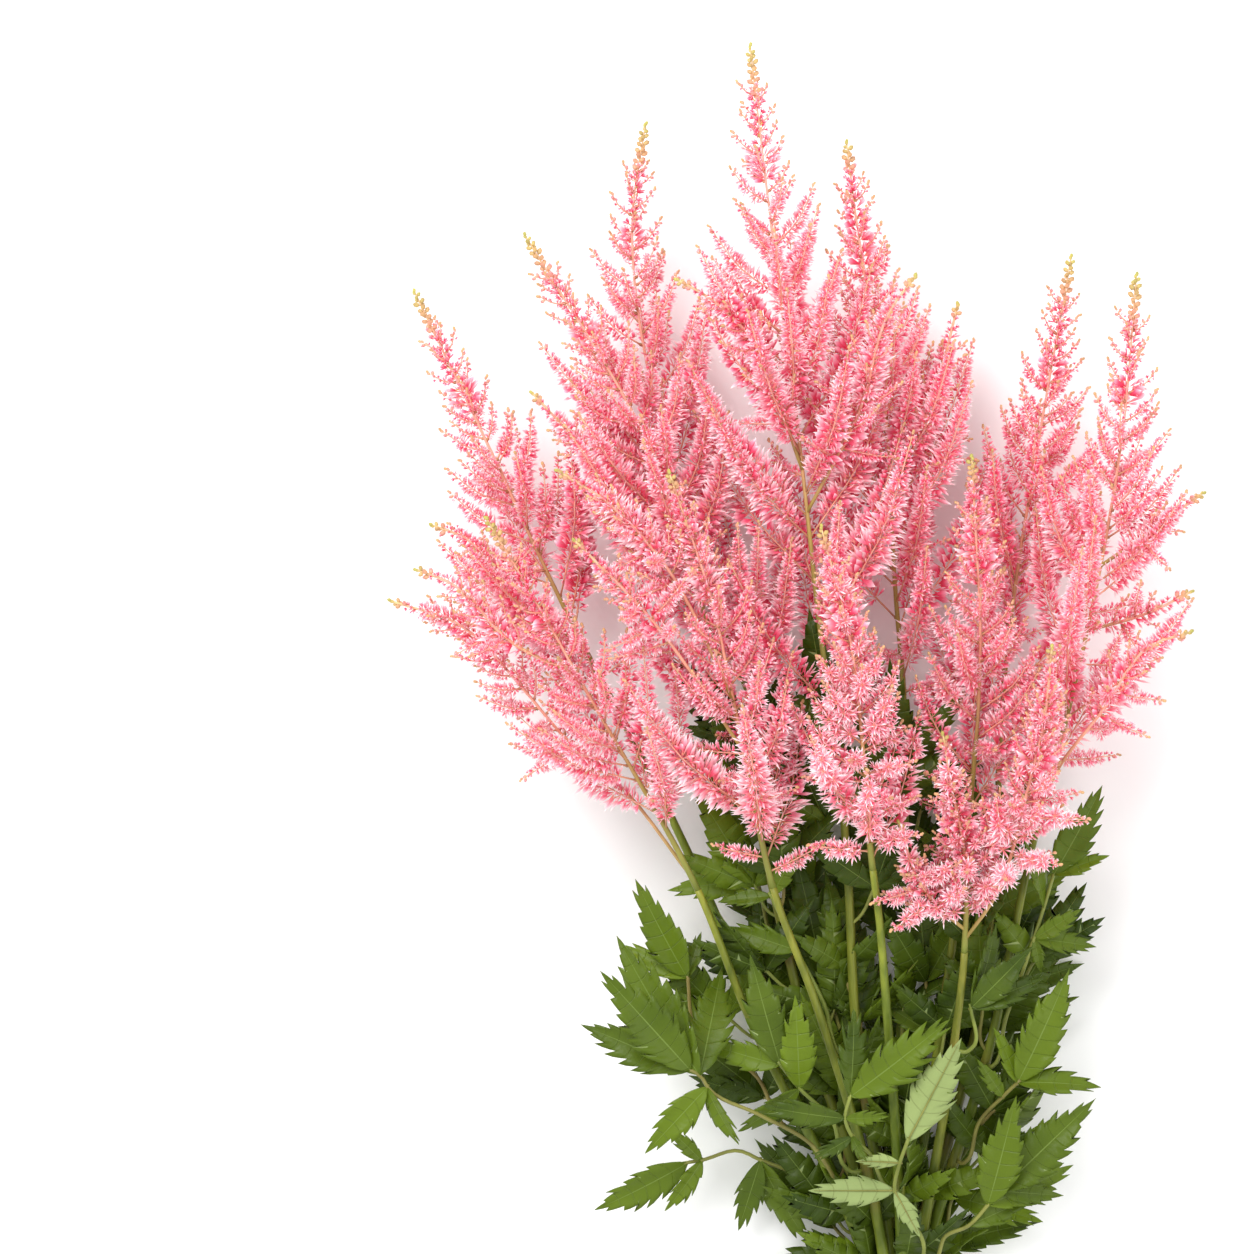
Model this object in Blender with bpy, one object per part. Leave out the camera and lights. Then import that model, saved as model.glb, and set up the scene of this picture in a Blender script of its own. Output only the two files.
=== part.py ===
"""A tied bunch of twelve cut astilbe stems with their leaves, lying on a flat surface.

Metres, +Z up. The bunch lies on z = 0 with its flowers towards +Y.
The origin is the middle of the flat underside of the tie.
Each stem, each plume of flowers, each compound leaf and the tie is one closed solid.
"""

import math
import random
from bisect import bisect_right
from collections import namedtuple

import bmesh
import bpy
import numpy as np
from mathutils import Matrix, Vector

MM = 0.001

# The tie and the stems in it: three inside and nine around them, the closest packing of twelve equal rods
STEM_RADIUS = 2.5 * MM
STEM_PITCH = 5.3 * MM
TWELVE_ROD_RING = 3.029
INNER_RING = STEM_PITCH / math.sqrt(3)
OUTER_RING = TWELVE_ROD_RING * STEM_PITCH / 2
SEAT_GAP = 0.3 * MM
TIE_INSIDE = OUTER_RING + STEM_RADIUS + SEAT_GAP
TIE_WALL = 1.4 * MM
TIE_WIDTH = 9 * MM
TIE_SIDES = 20
TIE_HEIGHT = TIE_INSIDE + TIE_WALL
CUT_END = -44 * MM
CUT_STAGGER = 7 * MM

# How a stem thins towards its tip
THICK_SHARE = 0.35
STEM_TOP_RADIUS = 1.5 * MM
AXIS_TIP_RADIUS = 0.5 * MM
STEM_SIDES = 6
STEM_STEP = 45 * MM
AXIS_SIDES = 4
AXIS_STEP = 40 * MM
SIDE_AXIS_RADII = (1.1 * MM, 0.7 * MM)
SPIKE_OVERLAP = 0.4
SIDE_FOOT_MARGIN = 6

# The stretch of a stem that is straight in the tie, and the path's point at its upper end
STRAIGHT = 14 * MM
STRAIGHT_KNOT = 3

# A path's frame is levelled on an axis that its heading never comes closer to than this cosine
STEEP = 0.88
HEADING_REACH = 0.5 * MM

# Racemes: flowering side branches, longer and steeper the further they are below the tip
SPIKE_LENGTH = 56 * MM
FIRST_RACEME = 46 * MM
FIRST_RACEME_SHARE = 0.5
SHORT_AXIS = 112 * MM
LAST_RACEME_MARGIN = 4 * MM
RACEME_STEP_TOP = 8 * MM
RACEME_STEP_GROWTH = 0.06
RACEME_LENGTH_MIN = 7 * MM
RACEME_LENGTH_GROWTH = 2.4
RACEME_LENGTH_MAX = 74 * MM
RACEME_ANGLE_TOP = math.radians(64)
RACEME_ANGLE_LOW = math.radians(40)
RACEME_ANGLE_REACH = 150 * MM
RACEME_BEND = 0.62
RACEME_DEPTH_SHARE = 0.8
RACEME_SIZES = (0.9, 1.1)
GOLDEN_ANGLE = math.radians(137.5)
BARE_SHARE = 0.12

# How far florets stand out of a raceme: least at its tip, more below, up to a most that grows with its length
FLORET_TIP_REACH = 2.2 * MM
FLORET_REACH_GROWTH = 0.17
FLORET_REACH = 5.2 * MM
FLORET_REACH_SHARE = 0.06
FLORET_RISE = 9 * MM
FLORET_RISE_FROM = 0.6
FLORET_CORE_SHARE = 0.55
FLORET_STEP = 16 * MM
FLORET_LEAN = 0.2
FLORET_SIZES = (0.95, 1.15)
RACEME_SIDES = 4
STALK_RADIUS = 0.8 * MM

# How the parts are kept apart: balls along them, and the gaps between those of different owners
BALL_STEP = 2 * MM
CROWD_REACH = 14 * MM
NODE_GAP = 0.6 * MM
OWN_OVERLAP = 8 * MM
CLEAR_FOOT = 5 * MM
CLEAR_FOOT_SHARE = 0.3
RACEME_SHARES = (1, 0.85, 0.7, 0.55, 0.42)
RACEME_SWINGS = (0, 18, -18, 36, -36, 56, -56, 78, -78, 104, -104, 135, 180)
FLOOR_PRESS = 0.6

# What a union leaves with fewer points than this is a scrap or a sealed hollow
SCRAP_POINTS = 9

# Leaves: their stalks, and the sizes, tilts and rolls in which a leaflet may stand to be clear
PETIOLE_RADIUS = 1.3 * MM
RACHIS_RADIUS = 1.1 * MM
PETIOLE_RISE = 3 * MM
STALK_END = 2 * MM
LEAFLET_SIZES = (1, 0.88, 0.76)
LEAFLET_TILTS = (0, 9, -9, 18, -18, 28, -28, 40)
LEAFLET_ROLLS = (0, 20, -20, 40, -40)
LEAFLET_ROLL_SPREAD = 12
LEAFLET_CLEAR_FROM = 0.22
LEAFLET_OVERLAP = 2.2 * MM
BLADE_BALL_STEP = 3 * MM
BLADE_BALL = 1.7 * MM
BLADE_THICKNESS = 0.7 * MM
BLADE_WIDTH_SHARE = 0.17
BLADE_SWELL = 0.7
BLADE_TAPER = 1.4
BLADE_DROOP = 0.16
BLADE_FOLD = 0.25
BLADE_FOOT_WIDTH = 0.4 * MM
TOOTH_OUT = 1.12
TOOTH_IN = 0.84
TOOTH_NOTCH = 0.035

Stem = namedtuple("Stem", "name slot cut route plume sides")
Side = namedtuple("Side", "foot route plume")
Leaf = namedtuple("Leaf", "name stem height facing route leaflets teeth")

# Each stem's route in millimetres, from just above the tie to the tip of its plume.
# The slot is its place in the tie: the ring and the angle in degrees. The plume is the length that flowers.
# A side axis starts at a distance in millimetres below the tip.
STEMS = [
    Stem("left_back", ("outer", 190), 0.2,
         [(-60, 155, 22), (-84, 212, 31), (-112, 270, 39), (-136, 316, 43), (-178, 405, 46), (-204, 459, 48)],
         200, [Side(164, [(-163, 331, 52), (-183, 356, 54), (-196, 361, 55)], 55)]),
    Stem("left_front", ("outer", 150), 0.8,
         [(-66, 160, 44), (-86, 210, 58), (-107, 249, 68), (-124, 278, 76), (-155, 333, 88), (-173, 363, 92)],
         160, [Side(176, [(-117, 251, 53), (-142, 273, 56), (-158, 292, 60), (-186, 320, 64), (-213, 329, 66)],
                    112),
               Side(76, [(-163, 312, 82), (-189, 337, 78), (-202, 342, 77)], 60)]),
    Stem("left_mid", ("inner", 210), 0.5,
         [(-43, 165, 36), (-57, 225, 48), (-67, 279, 56), (-84, 330, 60), (-105, 393, 63), (-157, 482, 66)],
         236, [Side(150, [(-109, 367, 66), (-138, 399, 70), (-154, 416, 72)], 86)]),
    Stem("back_left", ("outer", 230), 0.1,
         [(-28, 162, 17), (-38, 220, 23), (-59, 279, 27), (-84, 346, 29), (-101, 405, 32), (-112, 498, 36),
          (-107, 530, 39)],
         256, []),
    Stem("centre_tall", ("inner", 90), 0.9,
         [(-19, 162, 40), (-21, 204, 48), (-25, 254, 56), (-33, 313, 64), (-43, 401, 70), (-55, 493, 72),
          (-63, 561, 72)],
         284, [Side(178, [(-66, 443, 84), (-82, 457, 86), (-93, 463, 86)], 84),
               Side(196, [(-17, 410, 82), (-4, 452, 88), (5, 464, 88)], 92)]),
    Stem("centre_back", ("outer", 270), 0.4,
         [(2, 162, 18), (3, 246, 29), (2, 296, 36), (-1, 330, 40), (-6, 414, 45), (-19, 498, 47),
          (-22, 522, 48)],
         262, [Side(150, [(12, 408, 38), (21, 437, 36), (25, 454, 36)], 80)]),
    Stem("right_mid", ("inner", 330), 0.6,
         [(20, 162, 34), (30, 246, 57), (33, 292, 72), (33, 321, 82), (31, 355, 90), (29, 388, 96)],
         176, []),
    Stem("back_right", ("outer", 310), 0.3,
         [(36, 162, 17), (42, 225, 23), (44, 279, 26), (48, 321, 27), (59, 393, 31), (73, 474, 38)],
         236, []),
    Stem("right_side", ("outer", 350), 0.7,
         [(41, 150, 36), (57, 229, 47), (68, 271, 54), (78, 313, 60), (94, 405, 66), (99, 465, 68)],
         228, [Side(222, [(68, 262, 70), (85, 284, 76), (105, 311, 80), (120, 316, 82)], 66),
               Side(150, [(106, 325, 60), (122, 333, 60)], 40),
               Side(122, [(104, 358, 70), (126, 374, 74)], 42)]),
    Stem("low_front", ("outer", 30), 0.5,
         [(23, 141, 50), (27, 183, 66), (26, 228, 82), (21, 250, 92), (17, 273, 98)],
         88, [Side(92, [(38, 203, 76), (53, 253, 93), (59, 279, 98), (62, 309, 102)], 104),
              Side(88, [(13, 204, 78), (5, 218, 84), (-1, 236, 88)], 44)]),
    Stem("front", ("outer", 70), 1.0,
         [(-6, 162, 64), (-9, 195, 76), (-13, 225, 88), (-16, 262, 99), (-22, 313, 110), (-34, 359, 117)],
         148, []),
    Stem("front_left", ("outer", 110), 0.0,
         [(-36, 162, 60), (-52, 204, 72), (-65, 262, 85), (-73, 301, 94), (-78, 324, 99), (-97, 382, 108)],
         182, [Side(100, [(-101, 347, 104), (-124, 371, 107), (-143, 383, 107)], 74),
               Side(122, [(-105, 322, 104), (-136, 354, 108)], 62)]),
]

# Compound leaves: the stem each grows on, the height of its foot above the tie, the way its upper face looks,
# its stalk's route, and each leaflet as the route's point it grows from and its tip. Points are in millimetres.
LEAVES = [
    Leaf("leaf_left_low", "front_left", 78, (-0.15, 0.1, 1),
         [(-38, 101, 46), (-59, 113, 54), (-81, 125, 60), (-84, 130, 61), (-88, 132, 61)],
         [(4, (-134, 151, 58)), (4, (-126, 176, 66)), (3, (-121, 186, 50)), (3, (-73, 174, 36)),
          (2, (-106, 96, 54)), (2, (-70, 100, 56))], 3),
    Leaf("leaf_left_bottom", "left_back", 70, (0.1, -0.2, 1),
         [(-42, 85, 18), (-58, 92, 21), (-67, 96, 22), (-83, 92, 22), (-89, 91, 22)],
         [(4, (-128, 70, 14)), (3, (-98, 71, 16)), (3, (-97, 106, 26)), (1, (-68, 62, 12)),
          (1, (-41, 56, 8))], 2),
    Leaf("leaf_left_high", "left_back", 112, (-0.2, 0.1, 1),
         [(-60, 128, 22), (-76, 140, 28), (-86, 150, 32), (-89, 170, 36)],
         [(3, (-112, 211, 42)), (3, (-117, 184, 34)), (3, (-83, 189, 30))], 2),
    Leaf("leaf_left_pair", "centre_tall", 140, (0, 0.2, 1),
         [(-31, 158, 44), (-43, 182, 50), (-54, 205, 54)],
         [(2, (-76, 203, 48)), (1, (-73, 191, 44)), (2, (-42, 226, 56))], 2),
    Leaf("leaf_centre", "front", 84, (-0.1, -0.3, 1),
         [(-12, 96, 50), (-20, 104, 58), (-23, 112, 62), (-21, 121, 64)],
         [(3, (20, 154, 72)), (3, (-18, 157, 70)), (2, (-57, 117, 62)), (2, (-5, 113, 66)), (1, (-14, 94, 66)),
          (1, (-36, 95, 58))], 3),
    Leaf("leaf_pale", "low_front", 44, (0.1, 0.1, -1),
         [(11, 56, 34), (4, 70, 46), (-2, 81, 54), (0, 93, 60), (3, 102, 64)],
         [(4, (25, 146, 80)), (3, (-18, 94, 64)), (2, (-38, 80, 56)), (2, (8, 62, 62))], 3),
    Leaf("leaf_right_bottom", "low_front", 50, (0, -0.1, 1),
         [(20, 60, 30), (30, 65, 34), (38, 74, 37), (43, 80, 38)],
         [(3, (82, 120, 46)), (2, (50, 123, 48)), (3, (70, 78, 32)), (1, (56, 77, 28)), (2, (76, 90, 30))], 3),
    Leaf("leaf_right_mid", "right_side", 96, (0.2, 0, 1),
         [(34, 108, 34), (44, 120, 42), (50, 126, 46)],
         [(2, (72, 174, 54)), (2, (85, 127, 44)), (2, (41, 150, 50)), (1, (33, 136, 50))], 2),
    Leaf("leaf_right_high", "right_side", 140, (0.1, 0.1, 1),
         [(45, 152, 42), (52, 172, 46), (57, 187, 48), (61, 200, 50), (65, 214, 52)],
         [(4, (86, 251, 60)), (4, (88, 223, 52)), (3, (55, 231, 56)), (2, (77, 199, 50)), (2, (84, 184, 46)),
          (2, (60, 172, 44))], 2),
    Leaf("leaf_right_inner", "low_front", 146, (0, 0, 1),
         [(30, 158, 57)],
         [(0, (60, 171, 56)), (0, (55, 183, 46)), (0, (44, 192, 60))], 2),
    Leaf("leaf_inner_left", "centre_tall", 120, (0, 0.1, 1),
         [(-24, 146, 30), (-32, 170, 31)],
         [(1, (-42, 222, 36)), (1, (-16, 212, 32)), (1, (-54, 192, 28)), (0, (-50, 160, 26)),
          (0, (-6, 172, 28))], 2),
    Leaf("leaf_inner_right", "right_mid", 120, (0, 0.1, 1),
         [(14, 146, 24), (12, 168, 26)],
         [(1, (8, 222, 32)), (1, (34, 206, 32)), (1, (-12, 202, 30)), (0, (34, 166, 26)),
          (0, (-8, 160, 24))], 2),
    Leaf("leaf_back_left", "back_left", 118, (0, 0.1, 1),
         [(-27, 150, 9), (-34, 178, 8)],
         [(1, (-46, 234, 9)), (1, (-72, 206, 9)), (1, (-8, 218, 8)), (0, (-66, 162, 8)), (0, (-4, 176, 8))], 2),
    Leaf("leaf_back", "centre_back", 150, (0, 0.1, 1),
         [(2, 184, 10), (3, 210, 9)],
         [(1, (6, 268, 9)), (1, (-28, 250, 9)), (1, (36, 248, 9)), (0, (-26, 218, 6)), (0, (34, 214, 6))], 2),
    Leaf("leaf_back_right", "back_right", 100, (0.1, 0.1, 1),
         [(28, 132, 8), (38, 160, 7)],
         [(1, (60, 210, 8)), (1, (20, 206, 8)), (1, (80, 176, 8)), (0, (68, 142, 8)), (0, (8, 162, 8))], 2),
    Leaf("leaf_back_low", "centre_back", 66, (0, 0.1, 1),
         [(-4, 90, 5), (-8, 108, 4)],
         [(1, (-18, 158, 3)), (1, (-50, 130, 3)), (1, (16, 146, 3)), (0, (-42, 98, 3)), (0, (28, 108, 3))], 2),
    Leaf("leaf_mid_left", "front_left", 92, (0, 0, 1),
         [(-28, 110, 46), (-42, 124, 52), (-50, 134, 55)],
         [(2, (-64, 180, 58)), (2, (-82, 142, 44)), (1, (-44, 166, 62)), (1, (-66, 104, 44))], 2),
    Leaf("leaf_low_right", "back_right", 54, (0.1, 0.1, 1),
         [(24, 76, 13), (36, 90, 17)],
         [(1, (54, 142, 20)), (1, (74, 108, 22)), (0, (30, 126, 15)), (0, (62, 66, 16))], 2),
    Leaf("leaf_low_centre", "back_left", 30, (0, 0.1, 1),
         [(-16, 50, 5), (-26, 62, 5)],
         [(1, (-60, 100, 5)), (1, (-20, 112, 3)), (0, (-62, 46, 5)), (0, (-40, 12, 5))], 2),
    Leaf("leaf_low_back", "centre_back", 20, (0, 0.1, 1),
         [(6, 40, 2), (12, 52, 2)],
         [(1, (30, 106, 2)), (1, (60, 68, 4)), (0, (-12, 88, 2)), (0, (44, 18, 4))], 2),
    Leaf("leaf_high_left", "left_mid", 188, (0, 0.1, 1),
         [(-60, 212, 36), (-65, 224, 34)],
         [(1, (-80, 262, 30)), (1, (-46, 268, 34)), (0, (-96, 206, 26)), (0, (-30, 240, 38))], 2),
    Leaf("leaf_high_right", "right_mid", 170, (0, 0.1, 1),
         [(34, 196, 32), (38, 212, 30)],
         [(1, (58, 262, 34)), (1, (24, 268, 32)), (0, (74, 214, 28)), (0, (12, 236, 36))], 2),
]

STEM_NAMES = [stem.name for stem in STEMS]

MATERIALS = {
    "stem_green": ((0.20, 0.24, 0.06), 0.55),
    "petal_pink": ((0.82, 0.33, 0.48), 0.6),
    "leaf_green": ((0.05, 0.13, 0.035), 0.5),
    "tie_band": ((0.45, 0.33, 0.18), 0.7),
}


class Path:
    """A smooth curve through a few points, measured along its length."""

    STEPS = 10

    def __init__(self, knots):
        ends = [2 * knots[0] - knots[1], *knots, 2 * knots[-1] - knots[-2]]
        self.points = []
        for a, b, c, d in zip(ends, ends[1:], ends[2:], ends[3:]):
            before, span, after = (b - a).length, (c - b).length, (d - c).length
            leave = ((b - a) * span / before + (c - b) * before / span) * span / (before + span)
            reach = ((c - b) * after / span + (d - c) * span / after) * span / (span + after)
            for i in range(self.STEPS):
                t = i / self.STEPS
                ease = t * t * (3 - 2 * t)
                self.points.append(b.lerp(c, ease) + leave * t * (1 - t) ** 2 - reach * t * t * (1 - t))
        self.points.append(knots[-1].copy())
        self.marks = [0.0]
        for p, q in zip(self.points, self.points[1:]):
            self.marks.append(self.marks[-1] + (q - p).length)
        self.length = self.marks[-1]
        self.knots = self.marks[::self.STEPS]
        headings = [(q - p).normalized() for p, q in zip(self.points, self.points[1:])]
        axes = [Vector((0, 0, 1)), Vector((0, 1, 0)), Vector((1, 0, 0))]
        nearest = {i: max(abs(heading.dot(axis)) for heading in headings) for i, axis in enumerate(axes)}
        fitting = [i for i in nearest if nearest[i] < STEEP]
        self.level = axes[fitting[0] if fitting else min(nearest, key=nearest.get)]

    def at(self, distance):
        """The point that far along, carried straight on past either end."""
        i = min(max(bisect_right(self.marks, distance) - 1, 0), len(self.points) - 2)
        span = self.marks[i + 1] - self.marks[i]
        return self.points[i] + (self.points[i + 1] - self.points[i]) * (distance - self.marks[i]) / span

    def heading(self, distance):
        return (self.at(distance + HEADING_REACH) - self.at(distance - HEADING_REACH)).normalized()

    def frame(self, distance):
        """The heading there and two directions at right angles to it, one level and one upward."""
        heading = self.heading(distance)
        side = heading.cross(self.level).normalized()
        return heading, side, side.cross(heading)


def mix(low, high, share):
    return low + (high - low) * min(max(share, 0.0), 1.0)


def slot_place(ring, degrees, y):
    """A stem's centre in the tie, at a distance along the bunch."""
    radius = INNER_RING if ring == "inner" else OUTER_RING
    angle = math.radians(degrees)
    return Vector((radius * math.cos(angle), y, TIE_HEIGHT + radius * math.sin(angle)))


def stem_path(stem):
    """From the cut end, straight through the tie, and up to the tip of the plume."""
    cut = slot_place(*stem.slot, CUT_END - CUT_STAGGER * stem.cut)
    straight = [slot_place(*stem.slot, y) for y in (-STRAIGHT, 0, STRAIGHT)]
    return Path([cut, *straight, *(Vector(p) * MM for p in stem.route)])


def plume_length(stem):
    """The length of the stem's path that belongs to its plume, down to the lowest side axis."""
    return max([stem.plume, *(side.foot + SIDE_FOOT_MARGIN for side in stem.sides)]) * MM


def stem_radius(stem, path, distance):
    """A stem stays thick to above its leaves, then thins to the foot of its plume and on to the tip."""
    plume = plume_length(stem)
    foot = path.length - plume
    if distance < foot:
        return mix(STEM_RADIUS, STEM_TOP_RADIUS, (distance / foot - THICK_SHARE) / (1 - THICK_SHARE))
    return mix(STEM_TOP_RADIUS, AXIS_TIP_RADIUS, (distance - foot) / plume)


def side_axis_radius(path):
    """The thickness of a side axis, as a function of the distance along it."""
    return lambda distance: mix(*SIDE_AXIS_RADII, distance / path.length)


def floret_reach(from_tip, length):
    """How far florets stand out of a raceme, at a distance below its tip."""
    most = FLORET_REACH + FLORET_REACH_SHARE * length
    return min(FLORET_TIP_REACH + FLORET_REACH_GROWTH * from_tip, most)


class Raceme:
    """An axis that florets cover, from the end of its bare foot to its tip."""

    def __init__(self, path, bare):
        self.path = path
        self.bare = bare

    def reach(self, distance):
        """How far the florets stand out at a distance along the path."""
        if distance < self.bare:
            return STALK_RADIUS
        rise = mix(FLORET_RISE_FROM, 1.0, (distance - self.bare) / FLORET_RISE)
        return rise * floret_reach(self.path.length - distance, self.path.length)

    def balls(self, start):
        """Balls along the raceme, in which nothing else may stand."""
        count = max(int((self.path.length - start) / BALL_STEP), 1)
        places = [mix(start, self.path.length, i / count) for i in range(count + 1)]
        return [(*self.path.at(place), self.reach(place)) for place in places]


class Crowd:
    """The balls that everything placed so far takes up, each with its owner."""

    def __init__(self):
        self.balls = np.empty((0, 4))
        self.owners = np.empty(0, int)

    def add(self, balls, owner):
        self.balls = np.vstack([self.balls, np.array(balls)])
        self.owners = np.append(self.owners, np.full(len(balls), owner))

    def gap(self, balls, owner, own_overlap=0.0):
        """The least gap to anything placed. Balls of the same owner may overlap by that much."""
        new = np.array(balls)
        near = self.balls[:, :3] > new[:, :3].min(0) - CROWD_REACH
        near &= self.balls[:, :3] < new[:, :3].max(0) + CROWD_REACH
        near = near.all(1)
        if not near.any():
            return CROWD_REACH
        others = self.balls[near]
        apart = np.linalg.norm(new[:, None, :3] - others[None, :, :3], axis=2)
        apart -= new[:, None, 3] + others[None, :, 3]
        apart += np.where(self.owners[near] == owner, own_overlap, 0.0)
        return float(apart.min())


def raceme_places(plume):
    """Distances below the tip at which racemes leave an axis."""
    below = FIRST_RACEME if plume > SHORT_AXIS else FIRST_RACEME_SHARE * plume
    while below < plume - LAST_RACEME_MARGIN:
        yield below
        below += RACEME_STEP_TOP + RACEME_STEP_GROWTH * below


def raceme_at(axis, below, turn, size):
    """A raceme that leaves an axis at an angle and bends up along it."""
    heading, side, up = axis.frame(axis.length - below)
    outward = (side * math.cos(turn) + up * math.sin(turn) * RACEME_DEPTH_SHARE).normalized()
    length = size * min(RACEME_LENGTH_MIN + RACEME_LENGTH_GROWTH * below * below, RACEME_LENGTH_MAX)
    steep = mix(RACEME_ANGLE_TOP, RACEME_ANGLE_LOW, below / RACEME_ANGLE_REACH)
    lowest = FLOOR_PRESS * floret_reach(length / 2, length)
    knots = [axis.at(axis.length - below)]
    for angle in (steep, steep * RACEME_BEND):
        knot = knots[-1] + (heading * math.cos(angle) + outward * math.sin(angle)) * length / 2
        knot.z = max(knot.z, lowest)
        knots.append(knot)
    return Raceme(Path(knots), BARE_SHARE * length)


def clear_raceme(crowd, owner, axis, below, turn, size):
    """The first length and turn in which a raceme stands clear, or nothing."""
    for share in RACEME_SHARES:
        for swing in RACEME_SWINGS:
            raceme = raceme_at(axis, below, turn + math.radians(swing), share * size)
            start = max(CLEAR_FOOT_SHARE * raceme.path.length, CLEAR_FOOT)
            if crowd.gap(raceme.balls(start), owner, OWN_OVERLAP) > NODE_GAP:
                return raceme
    return None


def lay_out_plumes():
    """Each plume's axes and racemes, clear of the other plumes and of all stems, and the crowd they make."""
    crowd = Crowd()
    plumes = []
    for owner, stem in enumerate(STEMS):
        path = stem_path(stem)
        places = np.arange(0.0, path.length - plume_length(stem), BALL_STEP)
        crowd.add([(*path.at(place), stem_radius(stem, path, place)) for place in places], owner)
        axes = [(path, stem.plume * MM)]
        for side in stem.sides:
            foot = path.at(path.length - side.foot * MM)
            axes.append((Path([foot, *(Vector(p) * MM for p in side.route)]), side.plume * MM))
        racemes = [Raceme(axis, axis.length - min(flowering, SPIKE_LENGTH)) for axis, flowering in axes]
        for (axis, flowering), raceme in zip(axes, racemes):
            crowd.add(raceme.balls(axis.length - flowering), owner)
        plumes.append((axes, racemes))
    plans = []
    for owner, (axes, racemes) in enumerate(plumes):
        rng = random.Random(owner)
        for number, (axis, flowering) in enumerate(axes):
            turn = rng.uniform(0, math.tau)
            for below in raceme_places(flowering):
                plans.append((below, owner, number, turn, rng.uniform(*RACEME_SIZES)))
                turn += GOLDEN_ANGLE
    for below, owner, number, turn, size in sorted(plans):
        axes, racemes = plumes[owner]
        raceme = clear_raceme(crowd, owner, axes[number][0], below, turn, size)
        if raceme:
            racemes.append(raceme)
            crowd.add(raceme.balls(CLEAR_FOOT), owner)
    return plumes, crowd


class Leaflet:
    """A blade's place: its foot, the way it points, its upper side and its length."""

    def __init__(self, foot, tip, facing, size=1, tilt=0, roll=0):
        reach = (tip - foot) * size
        self.foot = foot
        self.length = reach.length
        self.side = reach.cross(facing).normalized()
        reach.rotate(Matrix.Rotation(math.radians(tilt) + BLADE_DROOP, 3, self.side))
        self.along = reach.normalized()
        self.side.rotate(Matrix.Rotation(math.radians(roll), 3, self.along))
        self.upper = self.side.cross(self.along)

    def half_width(self, share):
        widest = BLADE_SWELL / (BLADE_SWELL + BLADE_TAPER)
        swell = share ** BLADE_SWELL * (1 - share) ** BLADE_TAPER
        return BLADE_WIDTH_SHARE * self.length * swell / (widest ** BLADE_SWELL * (1 - widest) ** BLADE_TAPER)

    def point(self, share, sideways):
        """A point in the blade's middle, at a share of its length and a distance to one side."""
        height = BLADE_FOLD * abs(sideways) - BLADE_DROOP * share * share * self.length
        p = self.foot + self.along * share * self.length + self.side * sideways + self.upper * height
        p.z = max(p.z, BLADE_THICKNESS / 2)
        return p

    def balls(self, start):
        """Balls in the blade from a share of its length on, in which nothing else may stand."""
        rows = max(round(self.length / BLADE_BALL_STEP), 2)
        for share in [row / rows for row in range(1, rows + 1) if row / rows > start]:
            half = self.half_width(share)
            columns = round(half / BLADE_BALL_STEP)
            for column in range(-columns, columns + 1):
                yield (*self.point(share, half * column / max(columns, 1)), BLADE_BALL)


def leaf_place(leaf, stem):
    """The distance along its stem at which a leaf grows."""
    return leaf.height * MM - CUT_END + CUT_STAGGER * stem.cut


class CompoundLeaf:
    """A leaf's stalk and its leaflets, each turned until it stands clear."""

    def __init__(self, crowd, owner, leaf):
        stem = STEMS[STEM_NAMES.index(leaf.stem)]
        path = stem_path(stem)
        place = leaf_place(leaf, stem)
        route = [Vector(p) * MM for p in leaf.route]
        heading = path.heading(place)
        outward = route[0] - path.at(place)
        outward = (outward - heading * outward.dot(heading)).normalized()
        foot = path.at(place) + outward * (stem_radius(stem, path, place) + SEAT_GAP)
        rise = [foot, foot + outward * PETIOLE_RISE, foot + (outward * 2 + heading) * PETIOLE_RISE]
        self.stalk = Path([*rise, *route])
        self.leaflets = []
        crowd.add(self.stalk_balls(), owner)
        rng = random.Random(owner)
        for knot, tip in leaf.leaflets:
            leaflet = clear_leaflet(crowd, owner, route[knot], Vector(tip) * MM, Vector(leaf.facing), rng)
            if leaflet:
                self.leaflets.append(leaflet)
                crowd.add(list(leaflet.balls(0.0)), owner)

    def stalk_radius(self, distance):
        return mix(PETIOLE_RADIUS, RACHIS_RADIUS, distance / self.stalk.length)

    def stalk_balls(self):
        places = np.arange(0.0, self.stalk.length, BALL_STEP)
        return [(*self.stalk.at(place), self.stalk_radius(place)) for place in places]


def clear_leaflet(crowd, owner, foot, tip, facing, rng):
    """The first size, tilt and roll in which a leaflet stands clear, or nothing."""
    bias = rng.uniform(-LEAFLET_ROLL_SPREAD, LEAFLET_ROLL_SPREAD)
    for size in LEAFLET_SIZES:
        for tilt in LEAFLET_TILTS:
            for roll in LEAFLET_ROLLS:
                leaflet = Leaflet(foot, tip, facing, size, tilt, roll + bias)
                balls = list(leaflet.balls(LEAFLET_CLEAR_FROM))
                if crowd.gap(balls, owner, LEAFLET_OVERLAP) > NODE_GAP:
                    return leaflet
    return None


def loft(rings, tip=None):
    """A closed body through rings of points, each split from its even points, with a flat end or a tip."""
    bm = bmesh.new()
    loops = [[bm.verts.new(p) for p in ring] for ring in rings]
    bm.faces.new(loops[0][::-1])
    for k, (low, high) in enumerate(zip(loops, loops[1:])):
        for i, (a, d) in enumerate(zip(low, high)):
            b, c = low[(i + 1) % len(low)], high[(i + 1) % len(high)]
            if (i + k) % 2:
                bm.faces.new((a, b, c))
                bm.faces.new((a, c, d))
            else:
                bm.faces.new((a, b, d))
                bm.faces.new((b, c, d))
    if tip is None:
        bm.faces.new(loops[-1])
    else:
        point = bm.verts.new(tip)
        for a, b in zip(loops[-1], loops[-1][1:] + loops[-1][:1]):
            bm.faces.new((a, b, point))
    return bm


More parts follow.
